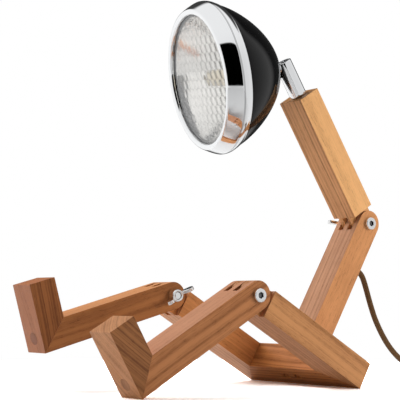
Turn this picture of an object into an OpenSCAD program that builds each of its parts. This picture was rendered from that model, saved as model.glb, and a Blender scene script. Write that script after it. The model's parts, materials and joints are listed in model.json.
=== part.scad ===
// Sitting wooden desk lamp with jointed legs and body and a round headlamp on a short neck.
// The lamp faces -Y, its own left side is +X, and +Z is up. Lengths are in millimetres.

/* [Beams] */
// Width of every wooden beam, from side to side
beam_w = 34; // [32:0.5:38]
// Thickness of every wooden beam
beam_t = 28; // [26:0.5:32]
// Overall width of the seat frame
seat_w = 173; // [160:1:200]
// Length of a thigh, from the seat's rear face to the knuckle's shoulder
thigh_len = 140; // [120:1:160]
// Length of a shin, from the knee bolt to the sole
shin_len = 157; // [140:1:175]
// Height of a foot, from heel to toe
foot_len = 67.5; // [60:0.5:80]
// Length of the lower torso, from the seat to the waist bolt
lower_torso_len = 158; // [150:1:175]
// Length of the upper torso, from the waist bolt to its top
upper_torso_len = 157; // [140:1:175]

/* [Pose] */
// Tilt of the seat frame above the table, in degrees
seat_tilt = 30.5; // [26:0.5:34]
// Slope of the right shin below level, in degrees
right_shin_slope = 15.5; // [8:0.5:20]
// Forward lean of the upper torso, in degrees
torso_lean = 32.5; // [25:0.5:40]
// Turn of the neck towards the lamp's right, in degrees
neck_turn = 14; // [0:1:20]
// Upward tilt of the head from square to the neck, in degrees
head_tilt = 20; // [10:1:30]

/* [Knuckle joints] */
// Clearance between a round finger end and the shoulder behind it
knuckle_gap = 1.5; // [1:0.1:2.5]
// Clearance on each side of a finger in its slot
finger_gap = 0.3; // [0.2:0.05:0.5]

/* [Hinge bolts] */
// Diameter of a hinge bolt's shank
bolt_d = 8; // [6:0.5:9]
// Diameter of a bolt head
bolt_head_d = 13.3; // [12.5:0.1:15]
// Height of a bolt head
bolt_head_h = 5; // [4:0.1:6]
// Width across the flats of the hex socket
socket_af = 5; // [4:0.5:6]
// Depth of the hex socket
socket_depth = 3; // [2:0.1:3.5]
// Radial clearance of every turning fit
run_gap = 0.1; // [0.05:0.01:0.1]

/* [Wing nuts] */
// Diameter of a wing nut's collar at its seat
collar_d = 15; // [14:0.1:18]
// Height of the collar
collar_h = 8; // [7:0.1:10]
// Reach of a wing from the bolt's axis
wing_reach = 17.5; // [16.5:0.1:20]
// Radius of a wing's round tip
wing_tip_r = 4; // [3.5:0.1:4.5]
// Thickness of a wing
wing_t = 3.5; // [2.5:0.1:4]
// Clearance between a turning face and the face that it bears on
face_gap = 0.3; // [0.2:0.05:0.5]

/* [Woodwork fixings] */
// Diameter of a mitre dowel
dowel_d = 8; // [6:0.5:8]
// Length of a mitre dowel
dowel_len = 28; // [20:1:30]
// Diameter of a wood screw's shank
screw_d = 5; // [4:0.5:6]
// Diameter of a wood screw's head
screw_head_d = 9.5; // [8.5:0.1:11]
// Length of a wood screw
screw_len = 60; // [50:1:65]
// Spacing of the two screws that hold the torso
torso_screw_spacing = 18; // [17:0.5:20]
// Diameter of the plug in a sole
plug_d = 12.5; // [12:0.1:14]
// Depth of the plug in a sole
plug_depth = 6; // [5:0.1:8]

/* [Neck] */
// Outer diameter of the neck tube
neck_d = 18; // [17:0.1:20]
// Wall of the neck tube
neck_wall = 1.5; // [1.2:0.1:2]
// Length of the neck tube
neck_len = 40; // [38:0.5:46]
// Distance of the tilt pin below the top of the neck tube
tilt_drop = 6.3; // [6:0.1:8]
// Diameter of the tilt pin
tilt_pin_d = 5; // [4:0.1:6]
// Thickness of the swivel eye
eye_t = 6; // [5:0.1:6.5]
// Height of the swivel eye's arm
eye_arm_h = 7; // [6:0.1:8]
// Clearance on each side of the swivel eye
eye_gap = 0.3; // [0.2:0.05:0.5]
// Outer diameter of the threaded tubes that carry the lead
nipple_d = 10; // [9:0.5:10]

/* [Head] */
// Clearance between the top of the neck tube and the back of the shell
shell_gap = 1.5; // [1.5:0.1:3]
// Outer radius of the shell at the rim
shell_r = 74.8; // [70:0.2:80]
// Depth of the shell, from its back to the rim
shell_depth = 64.3; // [58:0.1:75]
// Wall of the shell
shell_wall = 1.5; // [1.2:0.1:2]
// Wall of the rim
rim_wall = 1.2; // [1:0.1:1.6]
// How far the rim's crest stands out past its rear edge
rim_flare = 2.7; // [2:0.1:3.5]
// Depth of the rim's rear band, up to the groove
rim_rear_len = 10; // [8:0.2:12]
// Depth of the rim's front band, from the groove to the bead
rim_front_len = 13; // [12:0.2:16]
// Radius of the opening in the rim
lens_view_r = 66; // [64:0.2:68]
// Radius of the rim's front bead
bead_r = 3.3; // [2.8:0.1:3.6]
// Thickness of the lens at its edge
lens_t = 3.5; // [3:0.1:5]
// Height of the lens's dome
lens_dome = 2.5; // [1:0.1:4]
// Thickness of the reflector
reflector_wall = 0.8; // [0.6:0.1:1.2]
// Diameter of the lampholder
holder_d = 20; // [18:0.5:21]
// Diameter of the bulb
bulb_d = 14; // [12:0.5:16]
// Length of the bulb
bulb_len = 30; // [24:0.5:34]

/* [Cord] */
// Diameter of the cord
cord_d = 6; // [5.5:0.1:6.5]
// Distance of the cord's outlet below the waist bolt
cord_drop = 44.5; // [40:0.5:60]
// Length of the in-line switch
switch_len = 62; // [58:1:64]
// Width of the in-line switch
switch_w = 24; // [22:0.5:26]
// Height of the in-line switch
switch_h = 18; // [17:0.1:19]
// Length of the mains plug's body
mains_plug_len = 36; // [33:0.5:38]
// Width of the mains plug's body
mains_plug_w = 35; // [30:0.5:36]

/* [Hidden] */
$fn = 64;
overcut = 1; // how far a cutting shape runs past the face that it cuts

// Knuckles: five fingers share a beam's width, and a beam carries three or two of them.
finger_count = 5;
finger_pitch = beam_w / finger_count;
three_fingers = [0, 2, 4];
two_fingers = [1, 3];
knuckle_r = beam_t / 2;
shoulder = knuckle_r + knuckle_gap;
knee_reach = thigh_len + shoulder;

// Bolt and wing nut
bolt_bore = bolt_d + 2 * run_gap;
bolt_inset = 0.5;
bolt_len = beam_w + face_gap + collar_h - bolt_inset;
collar_taper = 2.6;
wing_top = 15.5;
wing_root = 2; // how far the wings reach into the collar
wing_foot = 1.5;
wing_step = 0.5;
wing_angles = [30, 29, -13]; // left knee, right knee, waist: turn of each wing nut from level
bolt_head_edge = 0.6;

// Fixings
screw_head_h = 4;
dowel_edge = 8;
dowel_rows = [dowel_edge, beam_t - dowel_edge];
torso_screw_sink = 6;

// Pose: seat_tilt turns the seat frame, and the left shin reaches down to the table.
sole_reach = sqrt(pow(shin_len, 2) + pow(beam_t / 2, 2));
knee_z = knee_reach * sin(seat_tilt) + beam_t / 2 * cos(seat_tilt);
left_shin_slope = asin(knee_z / sole_reach) - atan(beam_t / 2 / shin_len);
torso_y = -beam_w / 2; // the torso stands on the middle of the hip beam
waist_z = beam_t + lower_torso_len;
leg_x = (seat_w - beam_w) / 2;

// Neck
neck_bore = neck_d - 2 * neck_wall;
bush_h = 8;
locknut_h = 3;
nipple_in_wood = 18;
nipple_tip = 2;
nipple_above = bush_h + locknut_h + 2 * face_gap + nipple_tip;
lead_d = cord_d; // inside the lamp the lead fills its bores
tilt_h = neck_len - tilt_drop;
blind_web = 4; // wood left between a lead's bore and the slots of a knuckle
eye_room = 1.3;
eye_r = neck_bore / 2 - eye_room;
slot_w = eye_t + 2 * eye_gap;
slot_room = 1.8;
slot_drop = eye_r + slot_room;
cap_t = 1.4;
cap_back = eye_arm_h / 2 + 1;
tube_chamfer = 0.8;

// Head: heights below are measured along the head's axis from the tilt pin.
corner_reach = norm([neck_d / 2, tilt_drop]);
apex_reach = corner_reach + shell_gap;
shell_power = 1.25;
shell_root = 1.92;
shell_steps = 16;
rim_z = apex_reach + shell_depth;
rim_lap = 6;
rim_rear_r = shell_r + rim_wall;
crest_r = rim_rear_r + rim_flare;
groove_z = rim_z + rim_rear_len;
groove_w = 1;
groove_depth = 0.6;
bead_mid_r = lens_view_r + bead_r;
bead_z = groove_z + rim_front_len - 0.5;
lip_z = bead_z - 0.6;
lens_r = lens_view_r + 3;
gasket_t = 1.5;
lens_back_z = lip_z - lens_t;
flange_z = lens_back_z - gasket_t - reflector_wall;
bowl_r = lens_view_r - 2.5;
holder_hole_r = holder_d / 2 + 1.2;
focal_len = 23.3;
bowl_back_z = flange_z - (pow(bowl_r, 2) - pow(holder_hole_r, 2)) / (4 * focal_len);
stem_len = 22;
stem_end = apex_reach + stem_len;
holder_grip = 6;
holder_back = stem_end - holder_grip;
holder_lip = 3;
holder_front = bowl_back_z + holder_lip;
head_nut_h = 5;
head_nut_d = 1.7 * nipple_d;
washer_gap = 0.4;
washer_back = corner_reach + washer_gap;
washer_rims = [nipple_d + 3, nipple_d + 5];
clip_count = 4;
clip_angle = 12;
clip_t = 2;
clip_seat = 4;
clip_r = lens_r + clip_seat;
bulb_base_h = 6;
bulb_base_d = bulb_d - 2;

function rot_x(a, v) = [v[0], v[1] * cos(a) - v[2] * sin(a), v[1] * sin(a) + v[2] * cos(a)];
function rot_z(a, v) = [v[0] * cos(a) - v[1] * sin(a), v[0] * sin(a) + v[1] * cos(a), v[2]];
knee_pivot = rot_x(-seat_tilt, [0, -knee_reach, beam_t / 2]);
waist_pivot = rot_x(-seat_tilt, [0, torso_y, waist_z]);
tilt_pivot = waist_pivot + rot_x(torso_lean, [0, 0, upper_torso_len + tilt_h]);
head_axis = rot_x(torso_lean, rot_z(-neck_turn, rot_x(-head_tilt, [0, -1, 0])));

// Shell and rim outlines as [radius, height] along the head's axis
function shell_share(s) = pow(1 - pow(1 - s, shell_power), 1 / shell_root);
// How far the shell curves forward between its back and a point r from the axis
function shell_rise(r) = shell_depth * (1 - pow(1 - pow(r / shell_r, shell_root), 1 / shell_power));
nut_seat_z = apex_reach + shell_wall + shell_rise(head_nut_d / 2 + 1);
function shell_line(r, z0, depth) =
    [for (i = [0:shell_steps]) let (s = pow(i / shell_steps, 2)) [r * shell_share(s), z0 + s * depth]];
rear_band = [for (a = [0:15:90]) [rim_rear_r + rim_flare * sin(a), rim_z + (rim_rear_len - groove_w) * a / 90]];
groove_line = [
    [crest_r - groove_depth, groove_z - groove_w / 2],
    [crest_r, groove_z],
];
front_band = [
    for (k = [0.2:0.2:0.8])
        [
            crest_r + (bead_mid_r + bead_r - crest_r) * pow(k, 1.25),
            groove_z + (bead_z - groove_z) * k
        ]
];
bead_line = [for (a = [0:15:180]) [bead_mid_r + bead_r * cos(a), bead_z + bead_r * sin(a)]];
rim_outer = concat(rear_band, groove_line, front_band, bead_line);
rim_inner = [
    [lens_view_r, lip_z],
    [lens_r, lip_z],
    [lens_r, flange_z],
    [clip_r, flange_z],
    [clip_r, flange_z - clip_t],
    [crest_r - rim_wall - 0.8, groove_z],
    [crest_r - rim_wall - 0.8, rim_z + rim_lap + 1],
    [shell_r, rim_z + rim_lap],
    [shell_r, rim_z],
];

// The origin lies on the table below the middle of the whole lamp, its cord left out.
function head_reach(way) =
    tilt_pivot * way
    + max([for (p = rim_outer) p[1] * (head_axis * way) + p[0] * sqrt(1 - pow(head_axis * way, 2))]);
side_reach = seat_w / 2 + bolt_head_h;
max_x = max(side_reach, head_reach([1, 0, 0]));
min_x = -max(side_reach, head_reach([-1, 0, 0]));
function toe_y(slope) =
    knee_pivot[1] - shin_len * cos(slope) - (foot_len - beam_t / 2) * sin(slope);
min_y = min(toe_y(left_shin_slope), toe_y(right_shin_slope), -head_reach([0, -1, 0]));
wing_back = wing_reach * cos(wing_angles[2]) + wing_t / 2 * abs(sin(wing_angles[2]));
max_y = waist_pivot[1] + max(knuckle_r, wing_back);
origin = [(min_x + max_x) / 2, (min_y + max_y) / 2, 0];

// Cord: where each stretch runs, before the shift to the origin. The first stretch starts at the
// outlet's tip, and the last three lie on the table behind the lamp.
gland_in = 10;
gland_out = 10;
gland_d = 9;
gland_tip_d = 7.6;
switch_y = 180;
switch_mid_z = switch_h / 2;
lead_route = [
    [0, 77.85, 118.37], [0, 79.8, 117.1], [0, 83.5, 113.7], [0, 86.5, 108.6], [0, 89.2, 102], [0, 93, 91.5],
    [0, 97.5, 79.5], [0, 102.5, 68], [0, 109, 56.5], [0, 116.5, 45.5], [0, 125, 35.5], [0, 135, 26.5],
    [0, 146.5, 18.5], [0, 158, 12.6], [0, 167, 9.9], [0, 174, 9], [0, 180, 9],
];
middle_route = [[0, 242, 9], [0, 247, 9], [0, 254, 7.6], [0, 261, 5.2], [0, 268, 3.9], [0, 274, 3.8]];
tail_route = [[74.4, 275, 22], [75, 264, 20.6], [76, 252, 16], [76.9, 240, 10.2], [77, 228, 7.2], [77, 218, 7]];
coil_centre = [37.2, 274];
coil_in_r = 22.7;
coil_out_r = 40.2;
coil_h = 24.2;
tie_t = 0.8;
tie_w = 12;
rocker_len = 20;
rocker_w = 11;
rocker_h = 7;
rocker_gap = 0.8;
rocker_tilt = 6;
rocker_pivot_z = switch_h - 2;
switch_wall = 2;
mains_plug_t = 14;
pin_d = 4;
pin_len = 19;
pin_spacing = 18.6;

// Frames
module on_table() {
    translate([-origin[0], -origin[1], 0]) children();
}
module seat_frame() {
    on_table() rotate([-seat_tilt, 0, 0]) children();
}
module shin_frame(side, slope) {
    on_table() translate([side * leg_x, 0, 0]) translate(knee_pivot) rotate([slope, 0, 0]) children();
}
module left_shin_frame() {
    shin_frame(1, left_shin_slope) children();
}
module right_shin_frame() {
    shin_frame(-1, right_shin_slope) children();
}
module waist_frame() {
    seat_frame() translate([0, torso_y, waist_z]) children();
}
module upper_frame() {
    on_table() translate(waist_pivot) rotate([torso_lean, 0, 0]) children();
}
module neck_frame() {
    upper_frame() translate([0, 0, upper_torso_len]) rotate([0, 0, -neck_turn]) children();
}
module pin_frame() {
    neck_frame() translate([0, 0, tilt_h]) rotate([-head_tilt, 0, 0]) children();
}
// Z runs along the head's axis, out through the lens
module head_frame() {
    pin_frame() rotate([90, 0, 0]) children();
}

// Shared shapes
module along_x(len) {
    rotate([90, 0, 90]) linear_extrude(len, center = true) children();
}
module bar_x(d, len) {
    rotate([0, 90, 0]) cylinder(d = d, h = len, center = true);
}
// Fingers round a bolt along X, with the beam on the side that way points to, in the Y-Z plane
module fingers(slots, thickness, way) {
    for (i = slots)
        translate([(i - (finger_count - 1) / 2) * finger_pitch, 0, 0]) along_x(thickness) {
            circle(r = knuckle_r);
            rotate(way) translate([0, -knuckle_r]) square([shoulder, beam_t]);
        }
}
module hinge_bolt() {
    translate([-(bolt_len - beam_w / 2), 0, 0]) rotate([0, 90, 0]) cylinder(d = bolt_d, h = bolt_len);
    difference() {
        translate([beam_w / 2, 0, 0]) rotate([0, 90, 0]) {
            cylinder(d = bolt_head_d, h = bolt_head_h - bolt_head_edge);
            translate([0, 0, bolt_head_h - bolt_head_edge])
                cylinder(d1 = bolt_head_d, d2 = bolt_head_d - 2 * bolt_head_edge, h = bolt_head_edge);
        }
        translate([beam_w / 2 + bolt_head_h - socket_depth, 0, 0])
            rotate([0, 90, 0]) cylinder(d = socket_af / cos(30), h = socket_depth + overcut, $fn = 6);
    }
}
module wing_outline() {
    translate([wing_reach - wing_tip_r, wing_top - wing_tip_r]) circle(r = wing_tip_r);
    polygon([
        [collar_d / 2 - wing_root, wing_foot],
        [collar_d / 2 - wing_root, collar_h - wing_step],
        [wing_reach - wing_tip_r * 1.7, wing_top - wing_tip_r * 0.3],
        [wing_reach - wing_tip_r * 0.3, wing_top - wing_tip_r * 1.7],
    ]);
}
// A wing nut that stands off the side x = 0 towards -X, turned about the bolt
module wing_nut(turn) {
    rotate([turn, 0, 0]) difference() {
        rotate([0, -90, 0]) {
            cylinder(d1 = collar_d, d2 = collar_d - collar_taper, h = collar_h);
            for (side = [90, 270])
                rotate([0, 0, side]) rotate([90, 0, 0]) linear_extrude(wing_t, center = true) wing_outline();
        }
        bar_x(bolt_bore, 3 * wing_top);
    }
}
module wood_screw(len) {
    cylinder(d = screw_head_d, h = screw_head_h);
    translate([0, 0, screw_head_h]) cylinder(d = screw_d, h = len - screw_head_h);
}
// A tube swept along hand-chosen points, square to the path at each of them
function unit(v) = v / norm(v);
function way_at(path, i) =
    unit(path[min(i + 1, len(path) - 1)] - path[max(i - 1, 0)]);
function ring_at(c, way, r, sides) =
    let (across = unit(cross(way, [0.2, 0, 1])), up = cross(across, way))
    [for (k = [0:sides - 1]) c + r * (cos(360 * k / sides) * across + sin(360 * k / sides) * up)];
module swept_cord(path) {
    sides = 10;
    last = len(path) - 1;
    points = [for (i = [0:last]) each ring_at(path[i], way_at(path, i), cord_d / 2, sides)];
    skin = [
        for (i = [0:last - 1], k = [0:sides - 1])
            let (n = (k + 1) % sides)
            [i * sides + k, i * sides + n, (i + 1) * sides + n, (i + 1) * sides + k]
    ];
    caps = [[for (k = [sides - 1:-1:0]) k], [for (k = [0:sides - 1]) last * sides + k]];
    polyhedron(points, concat(skin, caps));
}

// Seat frame
module hip_beam() {
    color("peru") seat_frame() difference() {
        linear_extrude(beam_t) polygon([
            [-seat_w / 2, 0],
            [seat_w / 2, 0],
            [seat_w / 2 - beam_w, -beam_w],
            [-seat_w / 2 + beam_w, -beam_w],
        ]);
        dowel_set();
        torso_screw_set();
        torso_screw_sinks();
    }
}
module thigh(side) {
    difference() {
        union() {
            linear_extrude(beam_t) polygon([
                [side * seat_w / 2, 0],
                [side * (seat_w / 2 - beam_w), -beam_w],
                [side * (seat_w / 2 - beam_w), -thigh_len],
                [side * seat_w / 2, -thigh_len],
            ]);
            translate([side * leg_x, -knee_reach, beam_t / 2])
                fingers(two_fingers, finger_pitch - 2 * finger_gap, 0);
        }
        translate([side * leg_x, -knee_reach, beam_t / 2]) bar_x(bolt_bore, beam_w + overcut);
        dowel_set();
    }
}
module left_thigh() {
    color("peru") seat_frame() thigh(1);
}
module right_thigh() {
    color("peru") seat_frame() thigh(-1);
}
module dowel_set() {
    for (side = [-1, 1], z = dowel_rows)
        translate([side * (seat_w - beam_w) / 2, -beam_w / 2, z])
            rotate([90, 0, side * 45]) cylinder(d = dowel_d, h = dowel_len, center = true);
}
module mitre_dowels() {
    color("wheat") seat_frame() dowel_set();
}
module lower_torso() {
    color("peru") waist_frame() difference() {
        union() {
            translate([-beam_w / 2, -beam_t / 2, -lower_torso_len])
                cube([beam_w, beam_t, lower_torso_len - shoulder]);
            fingers(three_fingers, finger_pitch, -90);
        }
        bar_x(bolt_d, beam_w + overcut);
        lower_lead_shape();
        translate([0, beam_t / 2 - gland_in, -cord_drop])
            rotate([-90, 0, 0]) cylinder(d = gland_d, h = gland_in + overcut);
        translate([0, -torso_y, -waist_z]) torso_screw_set();
    }
}
module torso_screw_set() {
    for (side = [-1, 1])
        translate([side * torso_screw_spacing / 2, torso_y, torso_screw_sink]) wood_screw(screw_len);
}
module torso_screw_sinks() {
    for (side = [-1, 1])
        translate([side * torso_screw_spacing / 2, torso_y, -overcut])
            cylinder(d = screw_head_d, h = torso_screw_sink + overcut);
}
module torso_screws() {
    color("gold") seat_frame() torso_screw_set();
}
module waist_bolt() {
    color("silver") waist_frame() hinge_bolt();
}
module waist_wing_nut() {
    color("silver") on_table() translate(waist_pivot)
        translate([-beam_w / 2 - face_gap, 0, 0]) wing_nut(wing_angles[2]);
}
// The lead comes in from the gland and turns up the middle of the torso
module lower_lead_shape() {
    translate([0, 0, -cord_drop]) {
        cylinder(d = lead_d, h = cord_drop - shoulder - blind_web);
        sphere(d = lead_d);
        rotate([-90, 0, 0]) cylinder(d = lead_d, h = beam_t / 2 - gland_in);
    }
}
module lower_lead() {
    color("black") waist_frame() lower_lead_shape();
}

// Legs: the knee bolt lies at the origin of the shin's frame, and the shin runs towards -Y.
module shin() {
    difference() {
        union() {
            along_x(beam_w) polygon([
                [-shoulder, beam_t / 2],
                [-(shin_len - beam_t), beam_t / 2],
                [-shin_len, -beam_t / 2],
                [-shoulder, -beam_t / 2],
            ]);
            fingers(three_fingers, finger_pitch, 180);
        }
        bar_x(bolt_d, beam_w + overcut);
        foot_screw();
    }
}
module foot() {
    difference() {
        along_x(beam_w) polygon([
            [-(shin_len - beam_t), beam_t / 2],
            [-(shin_len - beam_t), foot_len - beam_t / 2],
            [-shin_len, foot_len - beam_t / 2],
            [-shin_len, -beam_t / 2],
        ]);
        foot_screw();
        foot_plug(overcut);
    }
}
module foot_screw() {
    translate([0, -shin_len + plug_depth, 0]) rotate([-90, 0, 0]) wood_screw(screw_len);
}
module foot_plug(extra = 0) {
    translate([0, -shin_len - extra, 0]) rotate([-90, 0, 0]) cylinder(d = plug_d, h = plug_depth + extra);
}
module knee_nut(side, turn) {
    mirror([side < 0 ? 1 : 0, 0, 0]) translate([-beam_w / 2 - face_gap, 0, 0]) wing_nut(turn);
}
module knee_frame(side) {
    on_table() translate([side * leg_x, 0, 0]) translate(knee_pivot) children();
}
module left_shin() {
    color("peru") left_shin_frame() shin();
}
module right_shin() {
    color("peru") right_shin_frame() shin();
}
module left_foot() {
    color("sienna") left_shin_frame() foot();
}
module right_foot() {
    color("sienna") right_shin_frame() foot();
}
module left_foot_screw() {
    color("gold") left_shin_frame() foot_screw();
}
module right_foot_screw() {
    color("gold") right_shin_frame() foot_screw();
}
module left_foot_plug() {
    color("saddlebrown") left_shin_frame() foot_plug();
}
module right_foot_plug() {
    color("saddlebrown") right_shin_frame() foot_plug();
}
module left_knee_bolt() {
    color("silver") left_shin_frame() hinge_bolt();
}
module right_knee_bolt() {
    color("silver") right_shin_frame() mirror([1, 0, 0]) hinge_bolt();
}
module left_knee_wing_nut() {
    color("silver") knee_frame(1) knee_nut(1, wing_angles[0]);
}
module right_knee_wing_nut() {
    color("silver") knee_frame(-1) knee_nut(-1, wing_angles[1]);
}

// Upper torso and neck
module upper_torso() {
    color("burlywood") upper_frame() difference() {
        union() {
            translate([-beam_w / 2, -beam_t / 2, shoulder])
                cube([beam_w, beam_t, upper_torso_len - shoulder]);
            fingers(two_fingers, finger_pitch - 2 * finger_gap, 90);
        }
        bar_x(bolt_bore, beam_w + overcut);
        translate([0, 0, shoulder + blind_web]) cylinder(d = lead_d, h = upper_torso_len);
        translate([0, 0, upper_torso_len - nipple_in_wood])
            cylinder(d = nipple_d, h = nipple_in_wood + overcut);
    }
}
module upper_lead() {
    color("black") upper_frame() translate([0, 0, shoulder + blind_web])
        cylinder(d = lead_d, h = upper_torso_len - shoulder - blind_web + nipple_above);
}
module neck_nipple() {
    color("goldenrod") upper_frame() translate([0, 0, upper_torso_len - nipple_in_wood]) difference() {
        cylinder(d = nipple_d, h = nipple_in_wood + nipple_above);
        translate([0, 0, -overcut]) cylinder(d = lead_d, h = nipple_in_wood + nipple_above + 2 * overcut);
    }
}
module neck_locknut() {
    color("goldenrod") upper_frame() translate([0, 0, upper_torso_len + bush_h + 2 * face_gap]) difference() {
        cylinder(d = neck_bore - 1, h = locknut_h, $fn = 6);
        translate([0, 0, -overcut]) cylinder(d = nipple_d, h = locknut_h + 2 * overcut);
    }
}
module neck_slot(back) {
    translate([-slot_w / 2, -neck_d, tilt_h - slot_drop]) cube([slot_w, neck_d + back, neck_len]);
}
module neck_tube() {
    color("silver") neck_frame() difference() {
        union() {
            translate([0, 0, face_gap]) cylinder(d = neck_d, h = neck_len - face_gap - tube_chamfer);
            translate([0, 0, neck_len - tube_chamfer])
                cylinder(d1 = neck_d, d2 = neck_d - 2 * tube_chamfer, h = tube_chamfer);
        }
        translate([0, 0, -overcut]) cylinder(d = neck_bore, h = neck_len + 2 * overcut);
        neck_slot(0);
        translate([0, 0, tilt_h]) bar_x(tilt_pin_d, neck_d + overcut);
    }
}
module neck_bush() {
    color("goldenrod") neck_frame() translate([0, 0, face_gap]) difference() {
        cylinder(d = neck_bore, h = bush_h);
        translate([0, 0, -overcut]) cylinder(d = nipple_d + 2 * run_gap, h = bush_h + 2 * overcut);
    }
}
module neck_cap() {
    color("silver") neck_frame() difference() {
        translate([0, 0, neck_len - cap_t]) cylinder(d = neck_bore, h = cap_t);
        neck_slot(cap_back);
    }
}
module tilt_pin() {
    color("silver") neck_frame() translate([0, 0, tilt_h]) bar_x(tilt_pin_d, neck_d - 1);
}

// Head
module swivel_eye() {
    color("silver") difference() {
        union() {
            pin_frame() {
                bar_x(2 * eye_r, eye_t);
                translate([-eye_t / 2, -washer_back, -eye_arm_h / 2]) cube([eye_t, washer_back, eye_arm_h]);
            }
            head_frame() translate([0, 0, washer_back]) cylinder(d = nipple_d, h = stem_end - washer_back);
        }
        pin_frame() bar_x(tilt_pin_d + 2 * run_gap, eye_t + overcut);
        head_frame() translate([0, 0, apex_reach]) cylinder(d = lead_d, h = stem_end);
    }
}
module head_washer() {
    color("silver") head_frame() translate([0, 0, washer_back]) difference() {
        cylinder(d1 = washer_rims[0], d2 = washer_rims[1], h = apex_reach - washer_back);
        translate([0, 0, -overcut]) cylinder(d = nipple_d, h = apex_reach);
    }
}
module head_nut() {
    color("goldenrod") head_frame() translate([0, 0, nut_seat_z]) difference() {
        cylinder(d = head_nut_d, h = head_nut_h, $fn = 6);
        translate([0, 0, -overcut]) cylinder(d = nipple_d, h = head_nut_h + 2 * overcut);
    }
}
module head_lead() {
    color("black") head_frame() translate([0, 0, apex_reach]) cylinder(d = lead_d, h = stem_end - apex_reach);
}
module head_shell() {
    outer = concat(shell_line(shell_r, apex_reach, shell_depth), [[shell_r, rim_z + rim_lap]]);
    inner = concat(
        [
            for (p = shell_line(shell_r - shell_wall, apex_reach + shell_wall, shell_depth - shell_wall))
                [p[0], max(p[1], nut_seat_z)]
        ],
        [[shell_r - shell_wall, rim_z + rim_lap]]
    );
    color("black") head_frame() difference() {
        rotate_extrude($fn = 96)
            polygon(concat(outer, [for (i = [len(inner) - 1:-1:0]) inner[i]]));
        translate([0, 0, apex_reach - overcut]) cylinder(d = nipple_d, h = stem_end - apex_reach);
    }
}
module rim() {
    color("gainsboro") head_frame() rotate_extrude($fn = 96) polygon(concat(rim_outer, rim_inner));
}
module lens() {
    dome = [for (k = [0:0.125:1]) [lens_view_r * k, lip_z + lens_dome * (1 - pow(k, 2))]];
    color("lightblue", 0.4) head_frame() rotate_extrude($fn = 96)
        polygon(concat([[0, lens_back_z]], dome, [[lens_r, lip_z], [lens_r, lens_back_z]]));
}
module lens_gasket() {
    color("dimgray") head_frame() translate([0, 0, lens_back_z - gasket_t]) difference() {
        cylinder(r = lens_r, h = gasket_t, $fn = 96);
        translate([0, 0, -overcut]) cylinder(r = bowl_r + 0.5, h = gasket_t + 2 * overcut, $fn = 96);
    }
}
module reflector() {
    bowl_steps = 12;
    function bowl_z(r) = flange_z - (pow(bowl_r, 2) - pow(r, 2)) / (4 * focal_len);
    function bowl_line(grow) = [
        for (k = [0:bowl_steps])
            let (r = holder_hole_r + (bowl_r - holder_hole_r) * k / bowl_steps)
            [r + grow, bowl_z(r)]
    ];
    inside = bowl_line(0);
    outside = bowl_line(reflector_wall);
    color("whitesmoke") head_frame() rotate_extrude($fn = 96) polygon(concat(
        inside,
        [[bowl_r, flange_z + reflector_wall], [lens_r, flange_z + reflector_wall], [lens_r, flange_z]],
        [for (i = [bowl_steps:-1:0]) outside[i]]
    ));
}
module reflector_clips() {
    color("silver") head_frame() for (i = [0:clip_count - 1])
        rotate([0, 0, 45 + 360 * i / clip_count - clip_angle / 2]) rotate_extrude(angle = clip_angle, $fn = 96)
            translate([bowl_r + 2, flange_z - clip_t]) square([clip_r - bowl_r - 2, clip_t]);
}
module lampholder() {
    color("ivory") head_frame() difference() {
        translate([0, 0, holder_back]) cylinder(d = holder_d, h = holder_front - holder_back);
        translate([0, 0, holder_back - overcut]) cylinder(d = nipple_d, h = stem_end - holder_back + overcut);
    }
}
module bulb_base() {
    color("ivory") head_frame() translate([0, 0, holder_front]) cylinder(d = bulb_base_d, h = bulb_base_h);
}
module bulb() {
    color("khaki", 0.5) head_frame() translate([0, 0, holder_front + bulb_base_h]) {
        cylinder(d = bulb_d, h = bulb_len - bulb_d / 2);
        translate([0, 0, bulb_len - bulb_d / 2]) sphere(d = bulb_d);
    }
}

// Cord
module cord_gland() {
    color("saddlebrown") waist_frame() translate([0, beam_t / 2, -cord_drop]) rotate([-90, 0, 0]) {
        translate([0, 0, -gland_in]) cylinder(d = gland_d, h = gland_in);
        cylinder(d1 = gland_d, d2 = gland_tip_d, h = gland_out);
    }
}
module cord_lead() {
    color("saddlebrown") on_table() swept_cord(lead_route);
}
module cord_middle() {
    color("saddlebrown") on_table() swept_cord(middle_route);
}
module cord_tail() {
    color("saddlebrown") on_table() swept_cord(tail_route);
}
module cord_coil() {
    color("saddlebrown") on_table() translate([coil_centre[0], coil_centre[1], tie_t]) rotate_extrude()
        translate([coil_in_r, 0]) square([coil_out_r - coil_in_r, coil_h]);
}
module cord_tie() {
    depth = coil_out_r - coil_in_r + 2 * tie_t;
    color("dimgray") on_table() translate([coil_centre[0], coil_centre[1] + coil_in_r - tie_t, 0])
        difference() {
            translate([-tie_w / 2, 0, 0]) cube([tie_w, depth, coil_h + 2 * tie_t]);
            translate([0, -coil_in_r + tie_t, tie_t]) rotate_extrude()
                translate([coil_in_r, 0]) square([coil_out_r - coil_in_r, coil_h]);
        }
}
module switch_shape(z0, z1) {
    corner_r = 5;
    translate([0, 0, z0]) linear_extrude(z1 - z0) {
        translate([-switch_w / 2, corner_r]) square([switch_w, switch_len - 2 * corner_r]);
        translate([-switch_w / 2 + corner_r, 0]) square([switch_w - 2 * corner_r, switch_len]);
        for (x = [-1, 1], y = [corner_r, switch_len - corner_r])
            translate([x * (switch_w / 2 - corner_r), y]) circle(r = corner_r);
    }
}
module switch_room(z0, z1) {
    room_w = rocker_w + 2 * rocker_gap;
    room_len = rocker_len + 2 * rocker_gap;
    translate([-room_w / 2, (switch_len - room_len) / 2, z0]) cube([room_w, room_len, z1 - z0]);
}
module switch_base() {
    color("saddlebrown") on_table() translate([0, switch_y, 0]) difference() {
        switch_shape(0, switch_h / 2);
        switch_room(switch_wall, switch_h);
    }
}
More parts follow.
